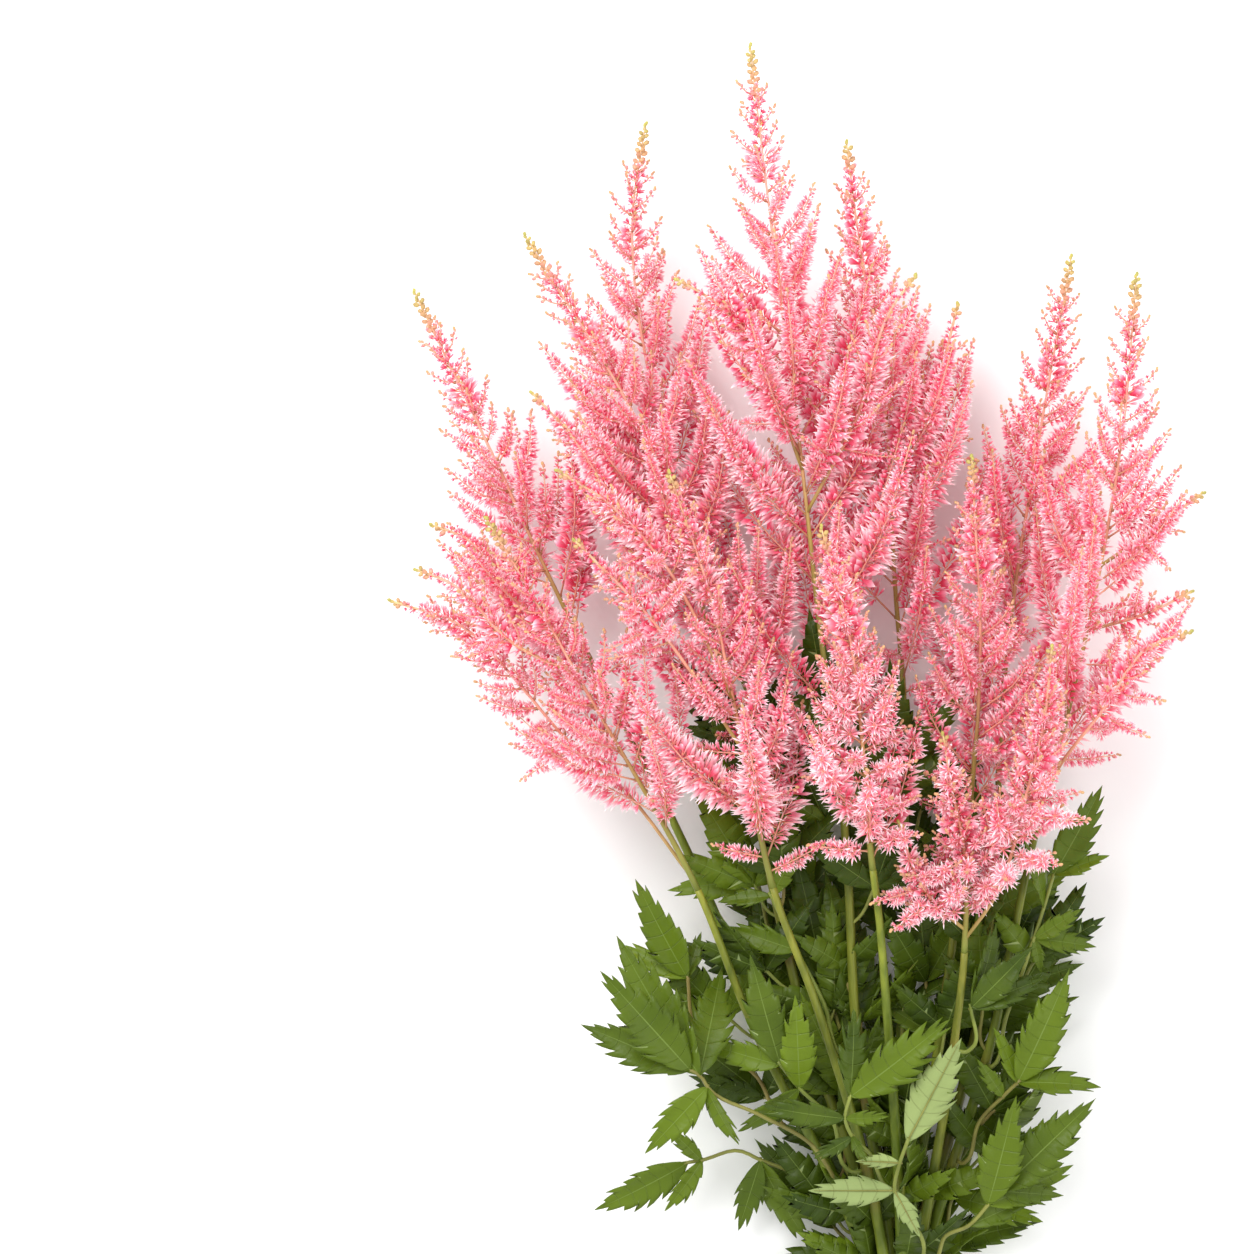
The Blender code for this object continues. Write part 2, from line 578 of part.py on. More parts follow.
def ring(path, distance, radii, leans):
    """Points around a path, each with its radius and its lean towards the tip, none below the surface."""
    heading, side, up = path.frame(distance)
    points = []
    for i, (radius, lean) in enumerate(zip(radii, leans)):
        angle = math.tau * i / len(radii)
        point = path.at(distance) + (side * math.cos(angle) + up * math.sin(angle)) * radius + heading * lean
        point.z = max(point.z, 0.0)
        points.append(point)
    return points


def tube(path, places, radius_at, sides):
    """A plain stem with a ring at each of several distances along its path."""
    return loft([ring(path, place, [radius_at(place)] * sides, [0] * sides) for place in places])


def steps(start, end, step):
    """Even distances from start to end, about a step apart."""
    count = max(round((end - start) / step), 1)
    return [mix(start, end, k / count) for k in range(count + 1)]


def floret_body(raceme, foot, rng):
    """A raceme's body: a slim core, out of which every other point stands as a floret larger than life."""
    covered = raceme.path.length - raceme.bare
    count = max(round(covered / FLORET_STEP), 2)
    rings = [ring(raceme.path, foot, [STALK_RADIUS] * RACEME_SIDES, [0] * RACEME_SIDES)]
    for k in range(count):
        place = raceme.bare + covered * k / count
        radii, leans = [], []
        for i in range(RACEME_SIDES):
            raised = (i + k) % 2
            share = rng.uniform(*FLORET_SIZES) if raised else FLORET_CORE_SHARE
            radii.append(raceme.reach(max(place, raceme.bare)) * share)
            leans.append(FLORET_LEAN * covered / count * raised)
        rings.append(ring(raceme.path, place, radii, leans))
    tip = raceme.path.at(raceme.path.length)
    return loft(rings, Vector((tip.x, tip.y, max(tip.z, 0.0))))


def blade(leaflet, teeth):
    """A thin toothed blade, folded along its rib and split into the same triangles above and below."""
    spots = [(k / (teeth + 1), 0.0) for k in range(teeth + 2)]
    rib, tip = list(range(teeth + 1)), teeth + 1
    outlines = []
    triangles = []
    for hand in (-1, 1):
        edge = [len(spots)]
        spots.append((0.0, hand * BLADE_FOOT_WIDTH))
        for k in range(teeth):
            out = (k + 1) / (teeth + 1)
            for share, stretch in ((out, TOOTH_OUT), (out + TOOTH_NOTCH, TOOTH_IN)):
                edge.append(len(spots))
                spots.append((share, hand * stretch * leaflet.half_width(share)))
            notch, point, next_notch = edge[-3:]
            triangles += [(rib[k], notch, point), (rib[k], point, rib[k + 1]), (rib[k + 1], point, next_notch)]
        triangles.append((rib[-1], edge[-1], tip))
        outlines.append(edge)
    bm = bmesh.new()
    half = leaflet.upper * BLADE_THICKNESS / 2
    above, below = ([bm.verts.new(leaflet.point(*spot) + side * half) for spot in spots] for side in (1, -1))
    for triangle in triangles:
        for face in (above, below):
            bm.faces.new([face[i] for i in triangle])
    rim = [0, *outlines[0], tip, *outlines[1][::-1]]
    for i, j in zip(rim, rim[1:] + rim[:1]):
        bm.faces.new((above[i], above[j], below[j], below[i]))
    return bm


def tie_band():
    """A flat band around the stems, with one of its flats on the surface."""
    bm = bmesh.new()
    loops = []
    for radius, y in ((TIE_HEIGHT, -1), (TIE_HEIGHT, 1), (TIE_INSIDE, 1), (TIE_INSIDE, -1)):
        corner = radius / math.cos(math.pi / TIE_SIDES)
        angles = [math.tau * (i + 0.5) / TIE_SIDES for i in range(TIE_SIDES)]
        loops.append([bm.verts.new((corner * math.cos(a), y * TIE_WIDTH / 2, TIE_HEIGHT + corner * math.sin(a)))
                      for a in angles])
    for loop, following in zip(loops, loops[1:] + loops[:1]):
        for i in range(TIE_SIDES):
            j = (i + 1) % TIE_SIDES
            bm.faces.new((loop[i], loop[j], following[j], following[i]))
    return bm


def drop_scraps(mesh):
    """Drops the loose scraps and sealed hollows that a union can leave."""
    bm = bmesh.new()
    bm.from_mesh(mesh)
    loose = set(bm.verts)
    islands = []
    while loose:
        island = [loose.pop()]
        for vert in island:
            for edge in vert.link_edges:
                other = edge.other_vert(vert)
                if other in loose:
                    loose.remove(other)
                    island.append(other)
        islands.append(island)
    for island in islands:
        if len(island) < SCRAP_POINTS:
            bmesh.ops.delete(bm, geom=island, context="VERTS")
    bm.to_mesh(mesh)
    bm.free()


def unite(name, material, bodies):
    """One named object, the union of its bodies."""
    pieces = []
    for bm in bodies:
        bmesh.ops.recalc_face_normals(bm, faces=bm.faces)
        mesh = bpy.data.meshes.new(name)
        bm.to_mesh(mesh)
        bm.free()
        mesh.materials.append(material)
        pieces.append(bpy.data.objects.new(name, mesh))
    first, *others = pieces
    bpy.context.scene.collection.objects.link(first)
    if others:
        group = bpy.data.collections.new(name)
        bpy.context.scene.collection.children.link(group)
        for piece in others:
            group.objects.link(piece)
        union = first.modifiers.new("union", "BOOLEAN")
        union.operation = "UNION"
        union.operand_type = "COLLECTION"
        union.collection = group
        view = bpy.context.evaluated_depsgraph_get()
        merged = bpy.data.meshes.new_from_object(first.evaluated_get(view))
        first.modifiers.clear()
        first.data = merged
        drop_scraps(merged)
        for piece in others:
            bpy.data.objects.remove(piece)
        bpy.data.collections.remove(group)
    first.name = name
    return first


def plain_material(name):
    colour, roughness = MATERIALS[name]
    material = bpy.data.materials.new(name)
    material.use_nodes = True
    shader = material.node_tree.nodes["Principled BSDF"]
    shader.inputs["Base Color"].default_value = (*colour, 1.0)
    shader.inputs["Roughness"].default_value = roughness
    shader.inputs["Metallic"].default_value = 0.0
    return material


def build():
    for existing in list(bpy.data.objects):
        bpy.data.objects.remove(existing)
    materials = {name: plain_material(name) for name in MATERIALS}
    plumes, crowd = lay_out_plumes()
    for owner, (stem, (axes, racemes)) in enumerate(zip(STEMS, plumes)):
        path = axes[0][0]
        foot = path.length - plume_length(stem)

        def radius(place):
            return stem_radius(stem, path, place)

        places = [0.0, *steps(path.knots[STRAIGHT_KNOT], foot - SEAT_GAP, STEM_STEP)]
        places += [leaf_place(leaf, stem) for leaf in LEAVES if leaf.stem == stem.name]
        unite("stem_" + stem.name, materials["stem_green"], [tube(path, sorted(places), radius, STEM_SIDES)])
        rng = random.Random(owner)
        bodies = []
        for number, spike in enumerate(racemes[:len(axes)]):
            axis = spike.path
            inside = mix(spike.bare, axis.length, SPIKE_OVERLAP)
            if number:
                feet = [axis.length - below for below in raceme_places(axes[number][1])]
                places = sorted({0.0, inside, *(place for place in feet if place < inside)})
                bodies.append(tube(axis, places, side_axis_radius(axis), AXIS_SIDES))
            else:
                bodies.append(tube(axis, steps(foot, inside, AXIS_STEP), radius, AXIS_SIDES))
            bodies.append(floret_body(spike, max(spike.bare - CLEAR_FOOT, 0.0), rng))
        for raceme in racemes[len(axes):]:
            bodies.append(floret_body(raceme, 0.0, rng))
        unite("plume_" + stem.name, materials["petal_pink"], bodies)
    for number, leaf in enumerate(LEAVES):
        placed = CompoundLeaf(crowd, len(STEMS) + number, leaf)
        places = [*placed.stalk.knots[:-1], placed.stalk.length + STALK_END]
        bodies = [tube(placed.stalk, places, placed.stalk_radius, AXIS_SIDES)]
        bodies += [blade(leaflet, leaf.teeth) for leaflet in placed.leaflets]
        unite(leaf.name, materials["leaf_green"], bodies)
    unite("tie", materials["tie_band"], [tie_band()])


build()
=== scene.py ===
"""The looks of a tied bunch of cut astilbe stems, which lies on a flat surface. Metres, +Z up.

The first half lays out the stems, flowering branches and leaflets where the solid model has them.
The second half makes their fine shapes and their finishes.
"""

import math
import random
from bisect import bisect_right
from collections import namedtuple
from itertools import product

import bmesh
import bpy
import numpy as np
from mathutils import Matrix, Vector

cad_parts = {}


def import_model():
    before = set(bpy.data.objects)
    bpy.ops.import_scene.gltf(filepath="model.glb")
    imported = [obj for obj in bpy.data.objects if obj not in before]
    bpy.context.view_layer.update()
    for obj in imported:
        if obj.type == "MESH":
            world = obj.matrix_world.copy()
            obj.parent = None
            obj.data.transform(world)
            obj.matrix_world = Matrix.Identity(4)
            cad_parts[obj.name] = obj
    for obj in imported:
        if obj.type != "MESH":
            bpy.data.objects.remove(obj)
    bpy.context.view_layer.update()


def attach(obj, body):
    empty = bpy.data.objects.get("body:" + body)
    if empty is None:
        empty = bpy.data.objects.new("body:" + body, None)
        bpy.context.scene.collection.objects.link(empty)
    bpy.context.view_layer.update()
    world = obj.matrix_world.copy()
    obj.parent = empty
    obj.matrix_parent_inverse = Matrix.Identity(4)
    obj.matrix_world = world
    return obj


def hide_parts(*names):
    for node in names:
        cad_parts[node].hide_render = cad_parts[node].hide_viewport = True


MM = 0.001

# The tie and the stems in it: three inside and nine around them, the closest packing of twelve equal rods
STEM_RADIUS = 2.5 * MM
STEM_PITCH = 5.3 * MM
TWELVE_ROD_RING = 3.029
INNER_RING = STEM_PITCH / math.sqrt(3)
OUTER_RING = TWELVE_ROD_RING * STEM_PITCH / 2
SEAT_GAP = 0.3 * MM
TIE_INSIDE = OUTER_RING + STEM_RADIUS + SEAT_GAP
TIE_WALL = 1.4 * MM
TIE_WIDTH = 9 * MM
TIE_HEIGHT = TIE_INSIDE + TIE_WALL
CUT_END = -44 * MM
CUT_STAGGER = 7 * MM

# How a stem thins towards its tip
THICK_SHARE = 0.35
STEM_TOP_RADIUS = 1.5 * MM
AXIS_TIP_RADIUS = 0.5 * MM
SIDE_AXIS_RADII = (1.1 * MM, 0.7 * MM)
SIDE_FOOT_MARGIN = 6

# The stretch of a stem that is straight in the tie
STRAIGHT = 14 * MM

# A path's frame is levelled on an axis that its heading never comes closer to than this cosine
STEEP = 0.88
HEADING_REACH = 0.5 * MM

# Racemes: flowering side branches, longer and steeper the further they are below the tip
SPIKE_LENGTH = 56 * MM
FIRST_RACEME = 46 * MM
FIRST_RACEME_SHARE = 0.5
SHORT_AXIS = 112 * MM
LAST_RACEME_MARGIN = 4 * MM
RACEME_STEP_TOP = 8 * MM
RACEME_STEP_GROWTH = 0.06
RACEME_LENGTH_MIN = 7 * MM
RACEME_LENGTH_GROWTH = 2.4
RACEME_LENGTH_MAX = 74 * MM
RACEME_ANGLE_TOP = math.radians(64)
RACEME_ANGLE_LOW = math.radians(40)
RACEME_ANGLE_REACH = 150 * MM
RACEME_BEND = 0.62
RACEME_DEPTH_SHARE = 0.8
RACEME_SIZES = (0.9, 1.1)
FLOOR_PRESS = 0.6
GOLDEN_ANGLE = math.radians(137.5)
BARE_SHARE = 0.12

# How far florets stand out of a raceme: least at its tip, more below, up to a most that grows with its length
FLORET_TIP_REACH = 2.2 * MM
FLORET_REACH_GROWTH = 0.17
FLORET_REACH = 5.2 * MM
FLORET_REACH_SHARE = 0.06
FLORET_RISE = 9 * MM
FLORET_RISE_FROM = 0.6
STALK_RADIUS = 0.8 * MM

# How the parts are kept apart: balls along them, and the gaps between those of different owners
BALL_STEP = 2 * MM
CROWD_REACH = 14 * MM
NODE_GAP = 0.6 * MM
OWN_OVERLAP = 8 * MM
CLEAR_FOOT = 5 * MM
CLEAR_FOOT_SHARE = 0.3

# The shares of its length and the swings in degrees that are tried for a raceme, and the gap that it needs
RacemeFit = namedtuple("RacemeFit", "shares swings gap")
RACEME_FIT = RacemeFit(
    (1, 0.85, 0.7, 0.55, 0.42), (0, 18, -18, 36, -36, 56, -56, 78, -78, 104, -104, 135, 180), NODE_GAP)

# Leaves: their stalks, and how a blade is shaped and filled with balls
PETIOLE_RADIUS = 1.3 * MM
RACHIS_RADIUS = 1.1 * MM
PETIOLE_RISE = 3 * MM
STALK_END = 2 * MM
BLADE_BALL_STEP = 3 * MM
BLADE_BALL = 1.7 * MM
BLADE_THICKNESS = 0.7 * MM
BLADE_WIDTH_SHARE = 0.17
BLADE_SWELL = 0.7
BLADE_TAPER = 1.4
BLADE_DROOP = 0.16
BLADE_FOLD = 0.25

# The sizes, and the tilts and rolls in degrees, that are tried for a leaflet. It has to be clear from a share
# of its length on, may overlap its own leaf by that much, and needs that gap to all else.
LEAFLET_OVERLAP = 2.2 * MM
LEAFLET_ROLL_SPREAD = 12
LeafletFit = namedtuple("LeafletFit", "sizes tilts rolls clear_from overlap gap")
LEAFLET_FIT = LeafletFit(
    (1, 0.88, 0.76), (0, 9, -9, 18, -18, 28, -28, 40), (0, 20, -20, 40, -40), 0.22, LEAFLET_OVERLAP, NODE_GAP)

Stem = namedtuple("Stem", "name slot cut route plume sides")
Side = namedtuple("Side", "foot route plume")
Leaf = namedtuple("Leaf", "name stem height facing route leaflets")

# Each stem's route in millimetres, from just above the tie to the tip of its plume.
# The slot is its place in the tie: the ring and the angle in degrees. The plume is the length that flowers.
# A side axis starts at a distance in millimetres below the tip.
STEMS = [
    Stem("left_back", ("outer", 190), 0.2,
         [(-60, 155, 22), (-84, 212, 31), (-112, 270, 39), (-136, 316, 43), (-178, 405, 46), (-204, 459, 48)],
         200, [Side(164, [(-163, 331, 52), (-183, 356, 54), (-196, 361, 55)], 55)]),
    Stem("left_front", ("outer", 150), 0.8,
         [(-66, 160, 44), (-86, 210, 58), (-107, 249, 68), (-124, 278, 76), (-155, 333, 88), (-173, 363, 92)],
         160, [Side(176, [(-117, 251, 53), (-142, 273, 56), (-158, 292, 60), (-186, 320, 64),
                          (-213, 329, 66)], 112),
               Side(76, [(-163, 312, 82), (-189, 337, 78), (-202, 342, 77)], 60)]),
    Stem("left_mid", ("inner", 210), 0.5,
         [(-43, 165, 36), (-57, 225, 48), (-67, 279, 56), (-84, 330, 60), (-105, 393, 63), (-157, 482, 66)],
         236, [Side(150, [(-109, 367, 66), (-138, 399, 70), (-154, 416, 72)], 86)]),
    Stem("back_left", ("outer", 230), 0.1,
         [(-28, 162, 17), (-38, 220, 23), (-59, 279, 27), (-84, 346, 29), (-101, 405, 32), (-112, 498, 36),
          (-107, 530, 39)],
         256, []),
    Stem("centre_tall", ("inner", 90), 0.9,
         [(-19, 162, 40), (-21, 204, 48), (-25, 254, 56), (-33, 313, 64), (-43, 401, 70), (-55, 493, 72),
          (-63, 561, 72)],
         284, [Side(178, [(-66, 443, 84), (-82, 457, 86), (-93, 463, 86)], 84),
               Side(196, [(-17, 410, 82), (-4, 452, 88), (5, 464, 88)], 92)]),
    Stem("centre_back", ("outer", 270), 0.4,
         [(2, 162, 18), (3, 246, 29), (2, 296, 36), (-1, 330, 40), (-6, 414, 45), (-19, 498, 47),
          (-22, 522, 48)],
         262, [Side(150, [(12, 408, 38), (21, 437, 36), (25, 454, 36)], 80)]),
    Stem("right_mid", ("inner", 330), 0.6,
         [(20, 162, 34), (30, 246, 57), (33, 292, 72), (33, 321, 82), (31, 355, 90), (29, 388, 96)],
         176, []),
    Stem("back_right", ("outer", 310), 0.3,
         [(36, 162, 17), (42, 225, 23), (44, 279, 26), (48, 321, 27), (59, 393, 31), (73, 474, 38)],
         236, []),
    Stem("right_side", ("outer", 350), 0.7,
         [(41, 150, 36), (57, 229, 47), (68, 271, 54), (78, 313, 60), (94, 405, 66), (99, 465, 68)],
         228, [Side(222, [(68, 262, 70), (85, 284, 76), (105, 311, 80), (120, 316, 82)], 66),
               Side(150, [(106, 325, 60), (122, 333, 60)], 40),
               Side(122, [(104, 358, 70), (126, 374, 74)], 42)]),
    Stem("low_front", ("outer", 30), 0.5,
         [(23, 141, 50), (27, 183, 66), (26, 228, 82), (21, 250, 92), (17, 273, 98)],
         88, [Side(92, [(38, 203, 76), (53, 253, 93), (59, 279, 98), (62, 309, 102)], 104),
              Side(88, [(13, 204, 78), (5, 218, 84), (-1, 236, 88)], 44)]),
    Stem("front", ("outer", 70), 1.0,
         [(-6, 162, 64), (-9, 195, 76), (-13, 225, 88), (-16, 262, 99), (-22, 313, 110), (-34, 359, 117)],
         148, []),
    Stem("front_left", ("outer", 110), 0.0,
         [(-36, 162, 60), (-52, 204, 72), (-65, 262, 85), (-73, 301, 94), (-78, 324, 99), (-97, 382, 108)],
         182, [Side(100, [(-101, 347, 104), (-124, 371, 107), (-143, 383, 107)], 74),
               Side(122, [(-105, 322, 104), (-136, 354, 108)], 62)]),
]

# Compound leaves: the stem each grows on, the height of its foot above the tie, the way its upper face looks,
# its stalk's route, and each leaflet as the route's point it grows from and its tip. Points are in mm.
LEAVES = [
    Leaf("leaf_left_low", "front_left", 78, (-0.15, 0.1, 1),
         [(-38, 101, 46), (-59, 113, 54), (-81, 125, 60), (-84, 130, 61), (-88, 132, 61)],
         [(4, (-134, 151, 58)), (4, (-126, 176, 66)), (3, (-121, 186, 50)), (3, (-73, 174, 36)),
          (2, (-106, 96, 54)), (2, (-70, 100, 56))]),
    Leaf("leaf_left_bottom", "left_back", 70, (0.1, -0.2, 1),
         [(-42, 85, 18), (-58, 92, 21), (-67, 96, 22), (-83, 92, 22), (-89, 91, 22)],
         [(4, (-128, 70, 14)), (3, (-98, 71, 16)), (3, (-97, 106, 26)), (1, (-68, 62, 12)),
          (1, (-41, 56, 8))]),
    Leaf("leaf_left_high", "left_back", 112, (-0.2, 0.1, 1),
         [(-60, 128, 22), (-76, 140, 28), (-86, 150, 32), (-89, 170, 36)],
         [(3, (-112, 211, 42)), (3, (-117, 184, 34)), (3, (-83, 189, 30))]),
    Leaf("leaf_left_pair", "centre_tall", 140, (0, 0.2, 1),
         [(-31, 158, 44), (-43, 182, 50), (-54, 205, 54)],
         [(2, (-76, 203, 48)), (1, (-73, 191, 44)), (2, (-42, 226, 56))]),
    Leaf("leaf_centre", "front", 84, (-0.1, -0.3, 1),
         [(-12, 96, 50), (-20, 104, 58), (-23, 112, 62), (-21, 121, 64)],
         [(3, (20, 154, 72)), (3, (-18, 157, 70)), (2, (-57, 117, 62)), (2, (-5, 113, 66)),
          (1, (-14, 94, 66)), (1, (-36, 95, 58))]),
    Leaf("leaf_pale", "low_front", 44, (0.1, 0.1, -1),
         [(11, 56, 34), (4, 70, 46), (-2, 81, 54), (0, 93, 60), (3, 102, 64)],
         [(4, (25, 146, 80)), (3, (-18, 94, 64)), (2, (-38, 80, 56)), (2, (8, 62, 62))]),
    Leaf("leaf_right_bottom", "low_front", 50, (0, -0.1, 1),
         [(20, 60, 30), (30, 65, 34), (38, 74, 37), (43, 80, 38)],
         [(3, (82, 120, 46)), (2, (50, 123, 48)), (3, (70, 78, 32)), (1, (56, 77, 28)), (2, (76, 90, 30))]),
    Leaf("leaf_right_mid", "right_side", 96, (0.2, 0, 1),
         [(34, 108, 34), (44, 120, 42), (50, 126, 46)],
         [(2, (72, 174, 54)), (2, (85, 127, 44)), (2, (41, 150, 50)), (1, (33, 136, 50))]),
    Leaf("leaf_right_high", "right_side", 140, (0.1, 0.1, 1),
         [(45, 152, 42), (52, 172, 46), (57, 187, 48), (61, 200, 50), (65, 214, 52)],
         [(4, (86, 251, 60)), (4, (88, 223, 52)), (3, (55, 231, 56)), (2, (77, 199, 50)), (2, (84, 184, 46)),
          (2, (60, 172, 44))]),
    Leaf("leaf_right_inner", "low_front", 146, (0, 0, 1),
         [(30, 158, 57)],
         [(0, (60, 171, 56)), (0, (55, 183, 46)), (0, (44, 192, 60))]),
    Leaf("leaf_inner_left", "centre_tall", 120, (0, 0.1, 1),
         [(-24, 146, 30), (-32, 170, 31)],
         [(1, (-42, 222, 36)), (1, (-16, 212, 32)), (1, (-54, 192, 28)), (0, (-50, 160, 26)),
          (0, (-6, 172, 28))]),
    Leaf("leaf_inner_right", "right_mid", 120, (0, 0.1, 1),
         [(14, 146, 24), (12, 168, 26)],
         [(1, (8, 222, 32)), (1, (34, 206, 32)), (1, (-12, 202, 30)), (0, (34, 166, 26)),
          (0, (-8, 160, 24))]),
    Leaf("leaf_back_left", "back_left", 118, (0, 0.1, 1),
         [(-27, 150, 9), (-34, 178, 8)],
         [(1, (-46, 234, 9)), (1, (-72, 206, 9)), (1, (-8, 218, 8)), (0, (-66, 162, 8)), (0, (-4, 176, 8))]),
    Leaf("leaf_back", "centre_back", 150, (0, 0.1, 1),
         [(2, 184, 10), (3, 210, 9)],
         [(1, (6, 268, 9)), (1, (-28, 250, 9)), (1, (36, 248, 9)), (0, (-26, 218, 6)), (0, (34, 214, 6))]),
    Leaf("leaf_back_right", "back_right", 100, (0.1, 0.1, 1),
         [(28, 132, 8), (38, 160, 7)],
         [(1, (60, 210, 8)), (1, (20, 206, 8)), (1, (80, 176, 8)), (0, (68, 142, 8)), (0, (8, 162, 8))]),
    Leaf("leaf_back_low", "centre_back", 66, (0, 0.1, 1),
         [(-4, 90, 5), (-8, 108, 4)],
         [(1, (-18, 158, 3)), (1, (-50, 130, 3)), (1, (16, 146, 3)), (0, (-42, 98, 3)), (0, (28, 108, 3))]),
    Leaf("leaf_mid_left", "front_left", 92, (0, 0, 1),
         [(-28, 110, 46), (-42, 124, 52), (-50, 134, 55)],
         [(2, (-64, 180, 58)), (2, (-82, 142, 44)), (1, (-44, 166, 62)), (1, (-66, 104, 44))]),
    Leaf("leaf_low_right", "back_right", 54, (0.1, 0.1, 1),
         [(24, 76, 13), (36, 90, 17)],
         [(1, (54, 142, 20)), (1, (74, 108, 22)), (0, (30, 126, 15)), (0, (62, 66, 16))]),
    Leaf("leaf_low_centre", "back_left", 30, (0, 0.1, 1),
         [(-16, 50, 5), (-26, 62, 5)],
         [(1, (-60, 100, 5)), (1, (-20, 112, 3)), (0, (-62, 46, 5)), (0, (-40, 12, 5))]),
    Leaf("leaf_low_back", "centre_back", 20, (0, 0.1, 1),
         [(6, 40, 2), (12, 52, 2)],
         [(1, (30, 106, 2)), (1, (60, 68, 4)), (0, (-12, 88, 2)), (0, (44, 18, 4))]),
    Leaf("leaf_high_left", "left_mid", 188, (0, 0.1, 1),
         [(-60, 212, 36), (-65, 224, 34)],
         [(1, (-80, 262, 30)), (1, (-46, 268, 34)), (0, (-96, 206, 26)), (0, (-30, 240, 38))]),
    Leaf("leaf_high_right", "right_mid", 170, (0, 0.1, 1),
         [(34, 196, 32), (38, 212, 30)],
         [(1, (58, 262, 34)), (1, (24, 268, 32)), (0, (74, 214, 28)), (0, (12, 236, 36))]),
]

STEM_NAMES = [stem.name for stem in STEMS]


class Path:
    """A smooth curve through a few points, measured along its length."""

    STEPS = 10

    def __init__(self, knots):
        """Rounds the corners at the knots, and picks an axis that the path is never steep to."""
        ends = [2 * knots[0] - knots[1], *knots, 2 * knots[-1] - knots[-2]]
        self.points = []
        for a, b, c, d in zip(ends, ends[1:], ends[2:], ends[3:]):
            before, span, after = (b - a).length, (c - b).length, (d - c).length
            leave = ((b - a) * span / before + (c - b) * before / span) * span / (before + span)
            reach = ((c - b) * after / span + (d - c) * span / after) * span / (span + after)
            for i in range(self.STEPS):
                t = i / self.STEPS
                ease = t * t * (3 - 2 * t)
                self.points.append(b.lerp(c, ease) + leave * t * (1 - t) ** 2 - reach * t * t * (1 - t))
        self.points.append(knots[-1].copy())
        self.marks = [0.0]
        for p, q in zip(self.points, self.points[1:]):
            self.marks.append(self.marks[-1] + (q - p).length)
        self.length = self.marks[-1]
        headings = [(q - p).normalized() for p, q in zip(self.points, self.points[1:])]
        axes = [Vector((0, 0, 1)), Vector((0, 1, 0)), Vector((1, 0, 0))]
        nearest = {i: max(abs(heading.dot(axis)) for heading in headings) for i, axis in enumerate(axes)}
        fitting = [i for i in nearest if nearest[i] < STEEP]
        self.level = axes[fitting[0] if fitting else min(nearest, key=nearest.get)]

    def at(self, distance):
        """The point that far along, carried straight on past either end."""
        i = min(max(bisect_right(self.marks, distance) - 1, 0), len(self.points) - 2)
        span = self.marks[i + 1] - self.marks[i]
        return self.points[i] + (self.points[i + 1] - self.points[i]) * (distance - self.marks[i]) / span

    def heading(self, distance):
        """The direction in which the path runs there."""
        return (self.at(distance + HEADING_REACH) - self.at(distance - HEADING_REACH)).normalized()

    def frame(self, distance):
        """The heading there and two directions at right angles to it, one level and one upward."""
        heading = self.heading(distance)
        side = heading.cross(self.level).normalized()
        return heading, side, side.cross(heading)


def mix(low, high, share):
    """A number between two, by a share that is kept from 0 to 1."""
    return low + (high - low) * min(max(share, 0.0), 1.0)


def slot_place(ring, degrees, y):
    """A stem's centre in the tie, at a distance along the bunch."""
    radius = INNER_RING if ring == "inner" else OUTER_RING
    angle = math.radians(degrees)
    return Vector((radius * math.cos(angle), y, TIE_HEIGHT + radius * math.sin(angle)))


def stem_path(stem):
    """From the cut end, straight through the tie, and up to the tip of the plume."""
    cut = slot_place(*stem.slot, CUT_END - CUT_STAGGER * stem.cut)
    straight = [slot_place(*stem.slot, y) for y in (-STRAIGHT, 0, STRAIGHT)]
    return Path([cut, *straight, *(Vector(p) * MM for p in stem.route)])


def plume_length(stem):
    """The length of the stem's path that belongs to its plume, down to the lowest side axis."""
    return max([stem.plume, *(side.foot + SIDE_FOOT_MARGIN for side in stem.sides)]) * MM


def stem_radius(stem, path, distance):
    """A stem stays thick to above its leaves, then thins to the foot of its plume and on to the tip."""
    plume = plume_length(stem)
    foot = path.length - plume
    if distance < foot:
        return mix(STEM_RADIUS, STEM_TOP_RADIUS, (distance / foot - THICK_SHARE) / (1 - THICK_SHARE))
    return mix(STEM_TOP_RADIUS, AXIS_TIP_RADIUS, (distance - foot) / plume)


def side_axis_radius(path):
    """The thickness of a side axis, as a function of the distance along it."""
    return lambda distance: mix(*SIDE_AXIS_RADII, distance / path.length)


def floret_reach(from_tip, length):
    """How far florets stand out of a raceme, at a distance below its tip."""
    most = FLORET_REACH + FLORET_REACH_SHARE * length
    return min(FLORET_TIP_REACH + FLORET_REACH_GROWTH * from_tip, most)


class Raceme:
    """An axis that florets cover, from the end of its bare foot to its tip."""

    def __init__(self, path, bare):
        self.path = path
        self.bare = bare

    def reach(self, distance):
        """How far the florets stand out at a distance along the path."""
        if distance < self.bare:
            return STALK_RADIUS
        rise = mix(FLORET_RISE_FROM, 1.0, (distance - self.bare) / FLORET_RISE)
        return rise * floret_reach(self.path.length - distance, self.path.length)

    def balls(self, start):
        """Balls along the raceme, in which nothing else may stand."""
        count = max(int((self.path.length - start) / BALL_STEP), 1)
        places = [mix(start, self.path.length, i / count) for i in range(count + 1)]
        return [(*self.path.at(place), self.reach(place)) for place in places]


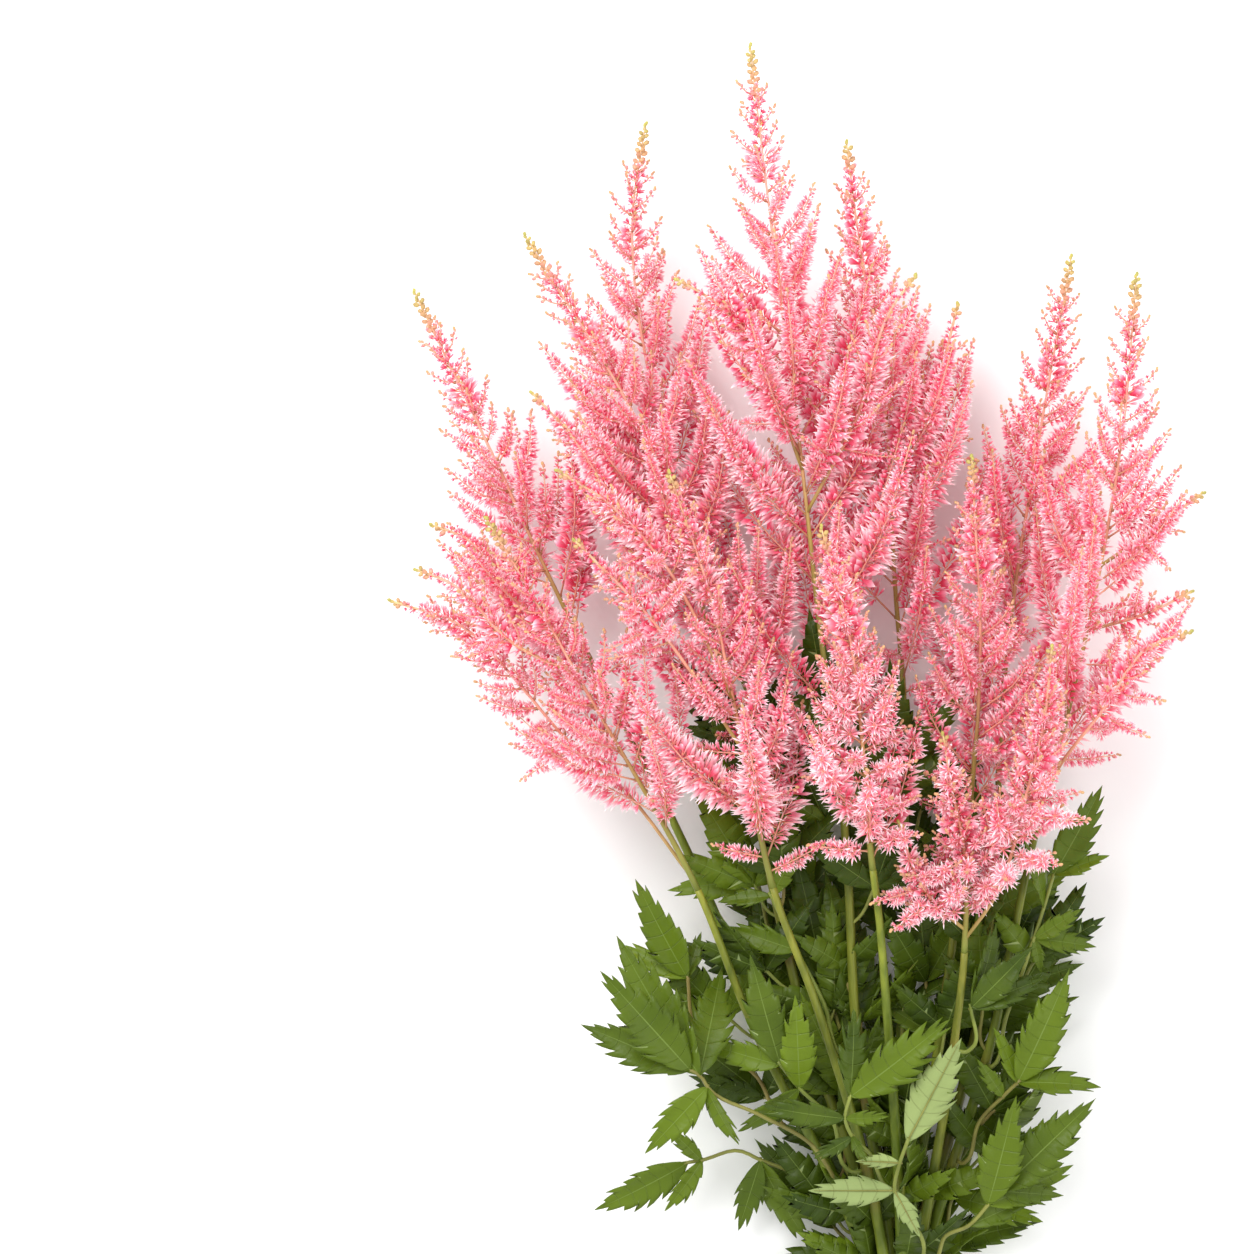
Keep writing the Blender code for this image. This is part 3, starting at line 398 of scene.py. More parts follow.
class Crowd:
    """The balls that everything placed so far takes up, each with its owner."""

    def __init__(self):
        self.balls = np.empty((0, 4))
        self.owners = np.empty(0, int)

    def copy(self):
        """A crowd that grows apart from this one."""
        twin = Crowd()
        twin.balls, twin.owners = self.balls, self.owners
        return twin

    def add(self, balls, owner):
        """Takes up the space of more balls."""
        self.balls = np.vstack([self.balls, np.array(balls)])
        self.owners = np.append(self.owners, np.full(len(balls), owner))

    def gap(self, balls, owner, own_overlap=0.0):
        """The least gap to anything placed. Balls of the same owner may overlap by that much."""
        new = np.array(balls)
        near = self.balls[:, :3] > new[:, :3].min(0) - CROWD_REACH
        near &= self.balls[:, :3] < new[:, :3].max(0) + CROWD_REACH
        near = near.all(1)
        if not near.any():
            return CROWD_REACH
        others = self.balls[near]
        apart = np.linalg.norm(new[:, None, :3] - others[None, :, :3], axis=2)
        apart -= new[:, None, 3] + others[None, :, 3]
        apart += np.where(self.owners[near] == owner, own_overlap, 0.0)
        return float(apart.min())


def raceme_places(plume):
    """Distances below the tip at which racemes leave an axis."""
    below = FIRST_RACEME if plume > SHORT_AXIS else FIRST_RACEME_SHARE * plume
    while below < plume - LAST_RACEME_MARGIN:
        yield below
        below += RACEME_STEP_TOP + RACEME_STEP_GROWTH * below


def bent_raceme(axis, below, turn, length, angles, lowest):
    """A raceme that leaves an axis at an angle, bends at its middle, and stays above a height."""
    heading, side, up = axis.frame(axis.length - below)
    outward = (side * math.cos(turn) + up * math.sin(turn) * RACEME_DEPTH_SHARE).normalized()
    knots = [axis.at(axis.length - below)]
    for angle in angles:
        knot = knots[-1] + (heading * math.cos(angle) + outward * math.sin(angle)) * length / 2
        knot.z = max(knot.z, lowest)
        knots.append(knot)
    return Raceme(Path(knots), BARE_SHARE * length)


def raceme_at(axis, below, turn, size):
    """A raceme of the solid model, longer and steeper the further below the tip it is."""
    length = size * min(RACEME_LENGTH_MIN + RACEME_LENGTH_GROWTH * below * below, RACEME_LENGTH_MAX)
    steep = mix(RACEME_ANGLE_TOP, RACEME_ANGLE_LOW, below / RACEME_ANGLE_REACH)
    lowest = FLOOR_PRESS * floret_reach(length / 2, length)
    return bent_raceme(axis, below, turn, length, (steep, steep * RACEME_BEND), lowest)


def clear_raceme(crowd, owner, axis, below, turn, size, fit=RACEME_FIT, shape=raceme_at):
    """The first length and turn in which a raceme stands clear, or nothing."""
    for share, swing in product(fit.shares, fit.swings):
        raceme = shape(axis, below, turn + math.radians(swing), share * size)
        start = max(CLEAR_FOOT_SHARE * raceme.path.length, CLEAR_FOOT)
        if crowd.gap(raceme.balls(start), owner, OWN_OVERLAP) > fit.gap:
            return raceme
    return None


def lay_out_plumes():
    """Each plume's axes and racemes, clear of the other plumes and of all stems, and the crowd they make."""
    crowd = Crowd()
    plumes = []
    for owner, stem in enumerate(STEMS):
        path = stem_path(stem)
        places = np.arange(0.0, path.length - plume_length(stem), BALL_STEP)
        crowd.add([(*path.at(place), stem_radius(stem, path, place)) for place in places], owner)
        axes = [(path, stem.plume * MM)]
        for side in stem.sides:
            foot = path.at(path.length - side.foot * MM)
            axes.append((Path([foot, *(Vector(p) * MM for p in side.route)]), side.plume * MM))
        racemes = [Raceme(axis, axis.length - min(flowering, SPIKE_LENGTH)) for axis, flowering in axes]
        for (axis, flowering), raceme in zip(axes, racemes):
            crowd.add(raceme.balls(axis.length - flowering), owner)
        plumes.append((axes, racemes))
    plans = []
    for owner, (axes, racemes) in enumerate(plumes):
        rng = random.Random(owner)
        for number, (axis, flowering) in enumerate(axes):
            turn = rng.uniform(0, math.tau)
            for below in raceme_places(flowering):
                plans.append((below, owner, number, turn, rng.uniform(*RACEME_SIZES)))
                turn += GOLDEN_ANGLE
    for below, owner, number, turn, size in sorted(plans):
        axes, racemes = plumes[owner]
        raceme = clear_raceme(crowd, owner, axes[number][0], below, turn, size)
        if raceme:
            racemes.append(raceme)
            crowd.add(raceme.balls(CLEAR_FOOT), owner)
    return plumes, crowd


class Leaflet:
    """A blade's place: its foot, the way it points, its upper side and its length."""

    def __init__(self, foot, tip, facing, size=1, tilt=0, roll=0):
        reach = (tip - foot) * size
        self.foot = foot
        self.length = reach.length
        self.side = reach.cross(facing).normalized()
        reach.rotate(Matrix.Rotation(math.radians(tilt) + BLADE_DROOP, 3, self.side))
        self.along = reach.normalized()
        self.side.rotate(Matrix.Rotation(math.radians(roll), 3, self.along))
        self.upper = self.side.cross(self.along)

    def half_width(self, share):
        """Half the blade's width at a share of its length."""
        widest = BLADE_SWELL / (BLADE_SWELL + BLADE_TAPER)
        swell = share ** BLADE_SWELL * (1 - share) ** BLADE_TAPER
        return BLADE_WIDTH_SHARE * self.length * swell / (widest ** BLADE_SWELL * (1 - widest) ** BLADE_TAPER)

    def point(self, share, sideways):
        """A point in the blade's middle, at a share of its length and a distance to one side."""
        height = BLADE_FOLD * abs(sideways) - BLADE_DROOP * share * share * self.length
        p = self.foot + self.along * share * self.length + self.side * sideways + self.upper * height
        p.z = max(p.z, BLADE_THICKNESS / 2)
        return p

    def balls(self, start):
        """Balls in the blade from a share of its length on, in which nothing else may stand."""
        rows = max(round(self.length / BLADE_BALL_STEP), 2)
        for share in [row / rows for row in range(1, rows + 1) if row / rows > start]:
            half = self.half_width(share)
            columns = round(half / BLADE_BALL_STEP)
            for column in range(-columns, columns + 1):
                yield (*self.point(share, half * column / max(columns, 1)), BLADE_BALL)


def leaf_place(leaf, stem):
    """The distance along its stem at which a leaf grows."""
    return leaf.height * MM - CUT_END + CUT_STAGGER * stem.cut


class CompoundLeaf:
    """A leaf's stalk and its leaflets, each turned until it stands clear."""

    def __init__(self, crowd, owner, leaf):
        stem = STEMS[STEM_NAMES.index(leaf.stem)]
        path = stem_path(stem)
        place = leaf_place(leaf, stem)
        route = [Vector(p) * MM for p in leaf.route]
        heading = path.heading(place)
        outward = route[0] - path.at(place)
        outward = (outward - heading * outward.dot(heading)).normalized()
        foot = path.at(place) + outward * (stem_radius(stem, path, place) + SEAT_GAP)
        rise = [foot, foot + outward * PETIOLE_RISE, foot + (outward * 2 + heading) * PETIOLE_RISE]
        self.stalk = Path([*rise, *route])
        self.leaflets = []
        crowd.add(self.stalk_balls(), owner)
        rng = random.Random(owner)
        for knot, tip in leaf.leaflets:
            bias = rng.uniform(-LEAFLET_ROLL_SPREAD, LEAFLET_ROLL_SPREAD)
            leaflet = clear_leaflet(
                crowd, owner, route[knot], Vector(tip) * MM, Vector(leaf.facing), LEAFLET_FIT, bias)
            if leaflet:
                self.leaflets.append(leaflet)
                crowd.add(list(leaflet.balls(0.0)), owner)

    def stalk_radius(self, distance):
        """The stalk's thickness, which falls along it."""
        return mix(PETIOLE_RADIUS, RACHIS_RADIUS, distance / self.stalk.length)

    def stalk_balls(self):
        """Balls along the stalk, in which nothing else may stand."""
        places = np.arange(0.0, self.stalk.length, BALL_STEP)
        return [(*self.stalk.at(place), self.stalk_radius(place)) for place in places]


def clear_leaflet(crowd, owner, foot, tip, facing, fit, bias=0):
    """The first size, tilt and roll in which a leaflet stands clear, or nothing. The bias adds to a roll."""
    for size, tilt, roll in product(fit.sizes, fit.tilts, fit.rolls):
        leaflet = Leaflet(foot, tip, facing, size, tilt, roll + bias)
        if crowd.gap(list(leaflet.balls(fit.clear_from)), owner, fit.overlap) > fit.gap:
            return leaflet
    return None


# The second half: fine shapes and finishes.

# Directions, and the places that materials take in the meshes
UP = Vector((0, 0, 1))
FORWARD = Vector((0, 1, 0))
TINY = 1e-9
PETAL, STAMEN, BUD = 0, 1, 2
BRACT = 1
UPPER, UNDER, STALK = 0, 1, 2
SKIN, PITH = 0, 1

# Rods: how many sides they have, and how many cuts along them
STEM_ROD = (12, 60)
MAIN_AXIS_ROD = (7, 30)
SIDE_AXIS_ROD = (6, 18)
RACEME_ROD = (4, 5)
LEAF_STALK_ROD = (7, 24)
RIB_ROD = (5, 6)
INNER_STALK_ROD = (6, 8)
TWINE_SIDES = 8
TWINE_CUTS = 48

# Thin rods: what share of the solid's thickness they have, or how thick they are at the foot and the tip
MAIN_AXIS_SLIMNESS = 0.72
MAIN_AXIS_SLIM_FROM = 0.35
SIDE_AXIS_SLIMNESS = 0.8
STALK_SLIMNESS = 0.72
RACEME_RADII = (0.42 * MM, 0.2 * MM)
RACEME_END = 1 * MM
INNER_STALK_RADIUS = 0.8 * MM

# Where along the colours of a flowering axis each kind of rod starts and ends
SIDE_AXIS_SHARES = (0.25, 1.0)
RACEME_COLOUR_SHARES = (0.45, 0.95)

# Petals or stamens round a centre: their material, the shares of a step that they are turned on by and may
# swing by, the shares of the flower's opening, reach and width that they take, and where they are widest
Rays = namedtuple("Rays", "material offset jitter slopes lengths width widest")
PETAL_RAYS = Rays(PETAL, 0.0, 0.2, (0.8, 1.2), (0.85, 1.05), 1.0, 0.6)
STAMEN_RAYS = Rays(STAMEN, 0.5, 0.3, (0.4, 0.9), (0.8, 1.0), 0.6, 0.75)
BUD_TIPS = Rays(PETAL, 0.0, 0.2, (0.3, 0.8), (1.6, 2.4), 1.0, 0.65)
RAY_LIFT = 0.2
FLORET_TOP = 1.12
CALYX = 0.12

# The stalks of florets and buds: their width, where they are widest, and where they start in the colours
FLORET_STALK = (0.12, 0.25)
FLORET_STALK_SHARES = (0.6, 0.0)
BUD_STALK = (0.6, 0.2)
BUD_STALK_SHARES = (0.2, 0.0)

# A whorl is the florets of one height, as rays all round: petals and stamens, each of a length and a width
WHORL_SLOPES = (48, 96)
WHORL_LENGTHS = (0.72, 1.0)
WHORL_LIFTS = (-0.15, 0.15)
WHORL_TWISTS = (-0.6, 0.6)
WHORL_FOOT = 0.1
WHORL_WIDEST = 0.68
WHORL_PETAL = (0.86, 1.25, PETAL)
WHORL_STAMEN = (1.0, 0.75, STAMEN)

# The small shapes that are set many times. Florets: how open each is in degrees, its throat, petals, stamens
# and their width. Whorls: how many there are, their rays, the rays' width and the share of petals.
# Buds: how many petals show at the tip of each.
FLORETS = {
    "open": ((66, 76, 86), 0.45, 5, 4, 0.14),
    "star": ((70, 78, 86), 0.4, 9, 4, 0.1),
    "half": ((26, 36, 46), 0.4, 5, 1, 0.19),
}
WHORLS = {"large": (5, 17, 0.12, 0.4), "middling": (5, 15, 0.15, 0.4), "small": (4, 11, 0.21, 0.5),
          "plain": (4, 9, 0.20, 0.6)}
BUDS = {"pink": (2, 3, 4), "green": (0, 0, 0)}

# The usual spread of steps and sizes
USUAL_SPREAD = (0.85, 1.15)

# Whorls on a raceme
WHORL_PITCH = 0.36
WHORL_PITCHES = (1.7 * MM, 2.8 * MM)
WHORL_SIZES = (0.92, 1.22)
WHORL_SMALL = 4.2 * MM
WHORL_LARGE = 6.6 * MM
PLAIN_PITCH = 1.25
TINTS = (-0.25, 0.25)
# Painted shade: florets deep inside the plumes are tinted darker by this much
BURIED_SHADE_TINT = -0.35

# Whole florets on the whorls: more of them, and upturned stars, on the plumes that stand out the furthest.
# There the whorls under the stars are darker as painted shade, and the upturned stars are paler than other
# open florets as a painted highlight.
STARRY_FLUFF = 1.25
FLORET_CHANCE = 0.35
STARRY_CHANCE = 0.9
STARRY_SHADE = -0.2
STAR_LEAST_RISE = -0.2
STAR_LIFT = 0.8
STAR_SIZE = 1.2
STAR_TINT = 0.35
OPEN_TINT = 0.15
LARGE_FLORET = 6.0 * MM
FLORET_LEAN = math.radians(34)
OPEN_LEANS = (0.2, 1.2)
OPEN_SIZES = (1.0, 1.2)

# Florets that are just opening
YOUNG_FLORETS = 2
YOUNG_PITCH = 1.4 * MM
YOUNG_SHARE = 0.8
YOUNG_LEANS = (0.6, 1.8)
YOUNG_SWINGS = (-1.2, 1.2)
YOUNG_TINT = -0.3
SPINS = (0, 6)

# Buds: their shape on a unit ball, their stalk, and how they stand
BUD_SQUASH = (0.85, 1.0)
BUD_STRETCH = 1.25
BUD_MIDDLE = 1.7
BUD_BOTTOM = 0.45
BUD_STALK_TOP = 0.9
BUD_STALK_FOOT = -0.2
BUD_OPENING = 1.6
BUD_SIZE = 1.25 * MM
BUD_SIZES = (0.85, 1.1)
BUD_GROWTH = 6 * MM
LEAST_BUD = 0.72
SMALL_BUD = 0.8
RIPER = 0.45
BUD_STEP = 0.95 * MM
BUD_STEPS = (0.8, 1.2)
BUD_LEAN = 1.3
END_BUD_LEAN = 0.2
END_BUDS = 1.5 * MM

# How far below a tip the green buds, the closed ones and the young florets end, on the spike of a main axis
# and on a raceme, and the share of that on the spikes of side axes and of some plumes
SPIKE_ENDS = (17 * MM, 22 * MM, 46 * MM)
RACEME_GREEN = 1.2 * MM
RACEME_GREEN_SHARE = 0.25
RACEME_CLOSED = 3.4 * MM
RACEME_CLOSED_SHARE = 0.45
YOUNG_RATIO = 2
SIDE_SPIKE = 0.3
SPIKE_SHARES = {"low_front": 0.3, "front": 0.5, "front_left": 0.5, "right_mid": 0.55, "centre_back": 0.6}

# How far the florets of a plume stand out, as a share of their reach in the solid model
USUAL_FLUFF = 1.06
FLUFF = {"low_front": 1.28, "front": 1.26, "front_left": 1.15, "right_mid": 1.15}

# How pale each plume is, from deep rose to near white: partly each plume's own tone, and partly painted light
# and shade, paler on the plumes that lie high at the front and deeper on those low at the back
PALENESS = {
    "left_back": 0.2, "left_front": 0.45, "left_mid": 0.4, "back_left": 0.45, "centre_tall": 0.3,
    "centre_back": 0.3, "right_mid": 0.55, "back_right": -0.15, "right_side": 0.3, "low_front": 0.85,
    "front": 0.8, "front_left": 0.55,
}

# Finer racemes between those of the solid model. The lowest of them spread wider.
FILL_FROM = 20 * MM
FILL_STEP = 2.1 * MM
FILL_GROWTH = 0.035
FILL_FIT = RacemeFit((1.0, 0.75, 0.5), (0, 50, -50, 110, -110), -8.5 * MM)
FILL_SIZES = (0.95, 1.35)
FILL_CROWDING = {
    "low_front": 0.45, "front": 0.6, "front_left": 0.8, "right_mid": 0.8, "left_front": 0.8, "left_mid": 0.85,
    "centre_back": 0.8, "back_right": 0.85,
}
SPREAD_FROM = 0.62
SPREAD_CHANCE = 0.6
SPREAD_ANGLES = (math.radians(78), math.radians(78) * 0.95)
SPREAD_LENGTH = 22 * MM
SPREAD_LOWEST = 3 * MM

# Florets with a filled cell between them and the outside are simpler and fewer, and tinted darker as painted
# shade
CELL = 7 * MM
HIDDEN_DEPTH = 1

# The small brown leaf under a raceme: how far it reaches along it and up, and how wide it is
BRACT_ALONG = 3.2
BRACT_UP = -1.2
BRACT_WIDTH = 1.5 * MM
BRACT_WIDEST = 0.4

# The teeth of a leaflet: each is a few rows, with how far out and how far forward they stand
TOOTH_LENGTH = 6.5 * MM
LEAST_TEETH = 5
MOST_TEETH = 9
TOOTH_PHASES = ((0.90, 0.0), (0.97, 0.14), (1.04, 0.32), (1.09, 0.58))
TOOTH_SIZES = (0.35, 1.5)
TOOTH_STRETCH = 1.5
TOOTH_POWER = 3
TIP_FADING = 5
FOOT_FADING = 6
LAST_SHARE = 0.98
LEAST_WIDTH = 0.35 * MM
LEAF_COLUMNS = 3
LEAF_SHEET = 0.45 * MM
UNDERSIDE = -0.3
RIPPLE_ALONG = 11
RIPPLE_ACROSS = 2
RIPPLE_HEIGHT = 0.022

# The rib under a leaflet, and its side veins: where they leave the rib, counted in teeth, and their width
RIB_RADIUS = 0.42 * MM
RIB_TIP_RADIUS = 0.12 * MM
RIB_SINK = 0.6
RIB_START = -1.2 * MM
RIB_PLACES = (0.0, 0.25, 0.5, 0.75, 0.93)
VEIN_SLANT = 0.45
VEIN_PHASE = 0.3
VEIN_WIDTH = 0.05
VEIN_EDGE = 18.0

# How deep the teeth of some leaves are cut, and which leaves lie deep in the bunch and stay darker as painted
# shade, while the others get at least a share of the bright colour as painted light
LEAF_CUT = {"leaf_centre": 1.9, "leaf_left_low": 1.25}
SHADED_LEAVES = ("back", "inner", "centre")
OUTER_PAINTED_LIGHT = 0.62

# Small leaves deep among the stems, of three leaflets each: one ahead and one to either side. Lengths in mm.
INNER_STEMS = ("left_back", "left_mid", "back_left", "centre_tall", "centre_back", "back_right", "right_side",
               "right_mid")
INNER_HEIGHTS = (34, 62, 90, 118, 146, 172)
INNER_TALL_STEMS = ("left_mid", "centre_tall", "back_left", "centre_back")
INNER_TALL_HEIGHTS = (198, 220, 240, 258)
INNER_FIT = LeafletFit((1, 0.8, 0.64), (0, 14, -14, 28), (0, 35, -35), 0.3, LEAFLET_OVERLAP * 2, -1.6 * MM)
INNER_TALL_FIT = INNER_FIT._replace(gap=-6 * MM)
INNER_HEIGHT_SPREAD = (0.94, 1.06)
INNER_FLATNESS = 0.6
INNER_REACHES = (12, 22)
INNER_OFFSETS = (7, 13)
INNER_LOWEST = 5 * MM
INNER_FACING_X = (-0.5, 0.5)
INNER_FACING_Y = (-0.4, 0.4)
INNER_TIP = (0.9, 0.35)
INNER_TIP_LENGTHS = (38, 52)
INNER_SIDE = 0.6
INNER_SIDE_SWINGS = (0.6, 0.9)
INNER_SIDE_LENGTHS = (28, 38)
INNER_STALK_BEND = (3, 4)
INNER_STALK_END = 1 * MM
INNER_CUT = 0.9
INNER_COLUMNS = 1

# Stems: their faint ribs, and the swollen brown knots at which leaves grow
RIBS = 5
RIB_HEIGHT = 0.05
KNOT_WIDTH = 3.5 * MM
KNOT_SWELLING = 0.12
KNOT_TINT = 0.5
STEM_TINT_STEP = 5
STEM_TINT_STEPS = 30
CUT_RIM = 0.6 * MM

# The tie's turns of twine
TWINE_RADIUS = 0.7 * MM
TWINE_TURNS = 6
TWINE_POINTS = 16

# The first seed of each kind of random draw
STAMP_SEED = 77
DRESS_SEED = 100
LEAF_SEED = 300
INNER_SEED = 41
FILL_SEED = 500

# A plain look: how rough and shiny it is, its soft patches, and two rows of colours along a piece, which the
# piece's tint blends. The patches are noise of a scale and detail, drawn out by the stretch, and run from dark
# to light over a span of the noise. A relief that follows the noise has a strength and a depth in metres.
WHITE = (1.0, 1.0, 1.0)
SOFT = (0.35, 0.65)
WIDE = (0.3, 0.7)
WHOLE = (0.0, 1.0)
Look = namedtuple("Look", "roughness specular scale span dark light detail stretch relief low high",
                  defaults=(2.0, WHITE, (), (), ()))
LOOKS = {
    # The deep rose near a ray's foot is partly painted shade, and the near-white tips are partly a painted
    # highlight
    "petal": Look(
        0.55, 0.25, 40.0, SOFT, (1.0, 0.86, 0.88), WHITE,
        low=((0.0, (0.95, 0.24, 0.14)), (0.15, (0.74, 0.04, 0.10)), (0.5, (0.88, 0.11, 0.22)),
             (0.75, (0.96, 0.36, 0.48)), (0.95, (1.0, 0.86, 0.90))),
        high=((0.0, (1.0, 0.50, 0.24)), (0.18, (0.86, 0.15, 0.22)), (0.5, (0.95, 0.32, 0.42)),
              (0.75, (1.0, 0.72, 0.78)), (0.95, (1.0, 0.97, 0.97)))),
    # As on the petals: the deep rose near the foot is partly painted shade, and the near-white tips are partly
    # a painted highlight
    "stamen": Look(
        0.5, 0.25, 55.0, SOFT, (0.92, 0.92, 0.92), WHITE,
        low=((0.0, (1.0, 0.42, 0.24)), (0.4, (0.90, 0.14, 0.24)), (0.75, (0.98, 0.50, 0.58)),
             (0.95, (1.0, 0.90, 0.91))),
        high=((0.0, (0.97, 0.64, 0.32)), (0.4, (0.95, 0.42, 0.47)), (0.75, (1.0, 0.82, 0.84)),
              (1.0, (1.0, 0.97, 0.92)))),
    "bud": Look(
        0.5, 0.3, 300.0, SOFT, (0.8, 0.8, 0.8), (1.1, 1.1, 1.05),
        low=((0.0, (0.72, 0.60, 0.26)), (0.5, (0.50, 0.46, 0.11)), (1.0, (0.36, 0.33, 0.07))),
        high=((0.0, (0.86, 0.50, 0.30)), (0.5, (0.84, 0.36, 0.30)), (1.0, (0.68, 0.18, 0.20)))),
    "flowering_axis": Look(
        0.5, 0.3, 160.0, WIDE, (0.8, 0.8, 0.8), (1.1, 1.1, 1.1), 3.0, (1.0, 0.15, 1.0),
        low=((0.0, (0.19, 0.22, 0.035)), (0.28, (0.36, 0.26, 0.07)), (0.55, (0.80, 0.36, 0.25)),
             (0.85, (0.93, 0.46, 0.36)), (1.0, (0.74, 0.52, 0.26)))),
    "bract": Look(0.5, 0.3, 200.0, SOFT, (0.20, 0.17, 0.03), (0.42, 0.34, 0.10)),
    "stem": Look(
        0.38, 0.25, 260.0, WIDE, (0.62, 0.68, 0.6), (1.45, 1.35, 1.3), 4.0, (1.0, 0.06, 1.0), (0.5, 0.0006),
        low=((0.0, (0.085, 0.14, 0.012)), (0.6, (0.11, 0.165, 0.014)), (1.0, (0.18, 0.22, 0.025))),
        high=((0.0, (0.10, 0.11, 0.015)), (0.6, (0.15, 0.10, 0.025)), (1.0, (0.22, 0.14, 0.04)))),
    "pith": Look(0.8, 0.2, 900.0, WIDE, (0.52, 0.58, 0.30), (0.80, 0.82, 0.60), 3.0, WHITE, (0.5, 0.0003)),
    "twine": Look(0.85, 0.2, 900.0, WIDE, (0.26, 0.18, 0.09), (0.58, 0.45, 0.27), 4.0, (0.35, 1.0, 1.0),
                  (0.8, 0.0006)),
    "floor": Look(0.9, 0.1, 3.0, WHOLE, (0.93, 0.93, 0.93), (0.95, 0.95, 0.95)),
}

# The two skins of a leaf: how rough each is, its older and darker colours, its fresh bright colour, which the
# outer leaves lean to as painted light, and its veins' colour
SKINS = {
    "leaf_upper": (
        0.36, (0.028, 0.052, 0.003), (0.068, 0.105, 0.008), (0.12, 0.18, 0.008), (0.17, 0.24, 0.05)),
    "leaf_under": (0.6, (0.19, 0.25, 0.085), (0.25, 0.32, 0.12), (0.28, 0.35, 0.12), (0.30, 0.30, 0.09)),
}
SKIN_SPECULAR = 0.18
SKIN_RELIEF = (0.6, 0.0006)
FINE_RELIEF = 0.6
FRESH_AND_LIT_POWER = 3.0
PATCH_SCALE = 45.0
FINE_SCALE = 500.0
STALK_PATCH_SCALE = 90.0

# A leaf's stalk: its green and its brown, each from dark to light
STALK_GREENS = ((0.13, 0.17, 0.025), (0.22, 0.27, 0.05))
STALK_BROWNS = ((0.18, 0.13, 0.04), (0.27, 0.22, 0.06))

# The shader node groups made so far
GROUPS = {}

# Daylight from all sides, and lamps with their places and powers
DAYLIGHT = 1.08
LAMPS = {"key": ((-1.1, 1.6, 2.2), 58.0), "fill": ((1.6, -0.4, 1.8), 14.0)}
LAMP_SIZE = 1.6
LAMP_AIM = Vector((-0.03, 0.28, 0.05))
FLOOR_SIZE = 6.0
FLOOR_DROP = 0.2 * MM

# The photograph's frame, seen from straight above
FRAME_WIDTH = 0.5267
FRAME_CENTRE = (-0.1147, 0.3184)
MIDDLE_HEIGHT = 0.065
CAMERA_HEIGHT = 4.0
SENSOR_WIDTH = 36.0


def new_shape():
    """An empty mesh to model in. Each of its points has a share of the way along its piece, and a tint."""
    bm = bmesh.new()
    for name in ("share", "tint"):
        bm.verts.layers.float.new(name)
    return bm


def rod(bm, path, start, end, radius_at, detail, shares=WHOLE, tint=0.5, material=0, ribs=0.0):
    """A round rod along a path, added to a mesh: a unit cylinder cut into rings and bent to its place."""
    before = len(bm.verts)
    sides, cuts = detail
    bmesh.ops.create_cone(bm, cap_ends=True, segments=sides, radius1=1, radius2=1, depth=1)
    bm.verts.ensure_lookup_table()
    edges = {e for v in bm.verts[before:] for e in v.link_edges}
    upright = [e for e in edges if abs(e.verts[0].co.z - e.verts[1].co.z) > 0.5]
    bmesh.ops.subdivide_edges(bm, edges=upright, cuts=cuts)
    bm.verts.ensure_lookup_table()
    points = bm.verts[before:]
    share_layer = bm.verts.layers.float["share"]
    tint_layer = bm.verts.layers.float["tint"]
    frames = {}
    for v in points:
        level = round(v.co.z + 0.5, 4)
        if level not in frames:
            distance = mix(start, end, level)
            frames[level] = (path.at(distance), radius_at(distance), *path.frame(distance)[1:])
        centre, radius, side, up = frames[level]
        angle = math.atan2(v.co.y, v.co.x)
        radius *= 1 + ribs * math.cos(RIBS * angle)
        v.co = centre + (side * math.cos(angle) + up * math.sin(angle)) * radius
        v.co.z = max(v.co.z, 0.0)
        v[share_layer] = mix(*shares, level)
        v[tint_layer] = tint(mix(start, end, level)) if callable(tint) else tint
    faces = {f for v in points for f in v.link_faces}
    for face in faces:
        face.material_index = material
        face.smooth = True
    bmesh.ops.recalc_face_normals(bm, faces=list(faces))


def ray(bm, foot, tip, width, widest, material, facing, shares=WHOLE):
    """A slim closed petal or filament, widest across the way it faces: the hull of its four corners."""
    along = tip - foot
    side = along.cross(facing)
    side = side.normalized() if side.length > TINY else along.orthogonal().normalized()
    lift = side.cross(along).normalized() * width * RAY_LIFT
    half = side * width / 2
    middle = foot + along * widest
    places = ((foot, 0.0), (middle + half + lift, widest), (middle - half + lift, widest), (tip, 1.0))
    share = bm.verts.layers.float["share"]
    corners = []
    for place, level in places:
        corners.append(bm.verts.new(place))
        corners[-1][share] = mix(*shares, level)
    hull = bmesh.ops.convex_hull(bm, input=corners)
    for face in hull["geom"]:
        if isinstance(face, bmesh.types.BMFace):
            face.material_index = material


def tilted(azimuth, slope, length):
    """A vector of a length that leans from +Z by a slope, towards an azimuth."""
    level = math.sin(slope)
    return Vector((math.cos(azimuth) * level, math.sin(azimuth) * level, math.cos(slope))) * length


def set_rays(bm, rng, rays, count, centre, turn=0.0, opening=1.0, reach=1.0, width=1.0):
    """Petals or stamens all round a centre."""
    for k in range(count):
        azimuth = turn + math.tau * (k + rays.offset + rng.uniform(-rays.jitter, rays.jitter)) / count
        slope = opening * rng.uniform(*rays.slopes)
        tip = centre + tilted(azimuth, slope, reach * rng.uniform(*rays.lengths))
        ray(bm, centre, tip, width * rays.width, rays.widest, rays.material, UP)


def floret_shape(rng, opening, throat, petals, stamens, width):
    """One floret of unit reach that looks along +Z: its stalk from the origin, petals and thin stamens."""
    bm = new_shape()
    centre = UP * throat
    ray(bm, centre + UP * CALYX, Vector(), *FLORET_STALK, BUD, FORWARD, FLORET_STALK_SHARES)
    turn = rng.uniform(0, math.tau)
    for rays, count in ((PETAL_RAYS, petals), (STAMEN_RAYS, stamens)):
        set_rays(bm, rng, rays, count, centre, turn, math.radians(opening), FLORET_TOP - throat, width)
    return bm


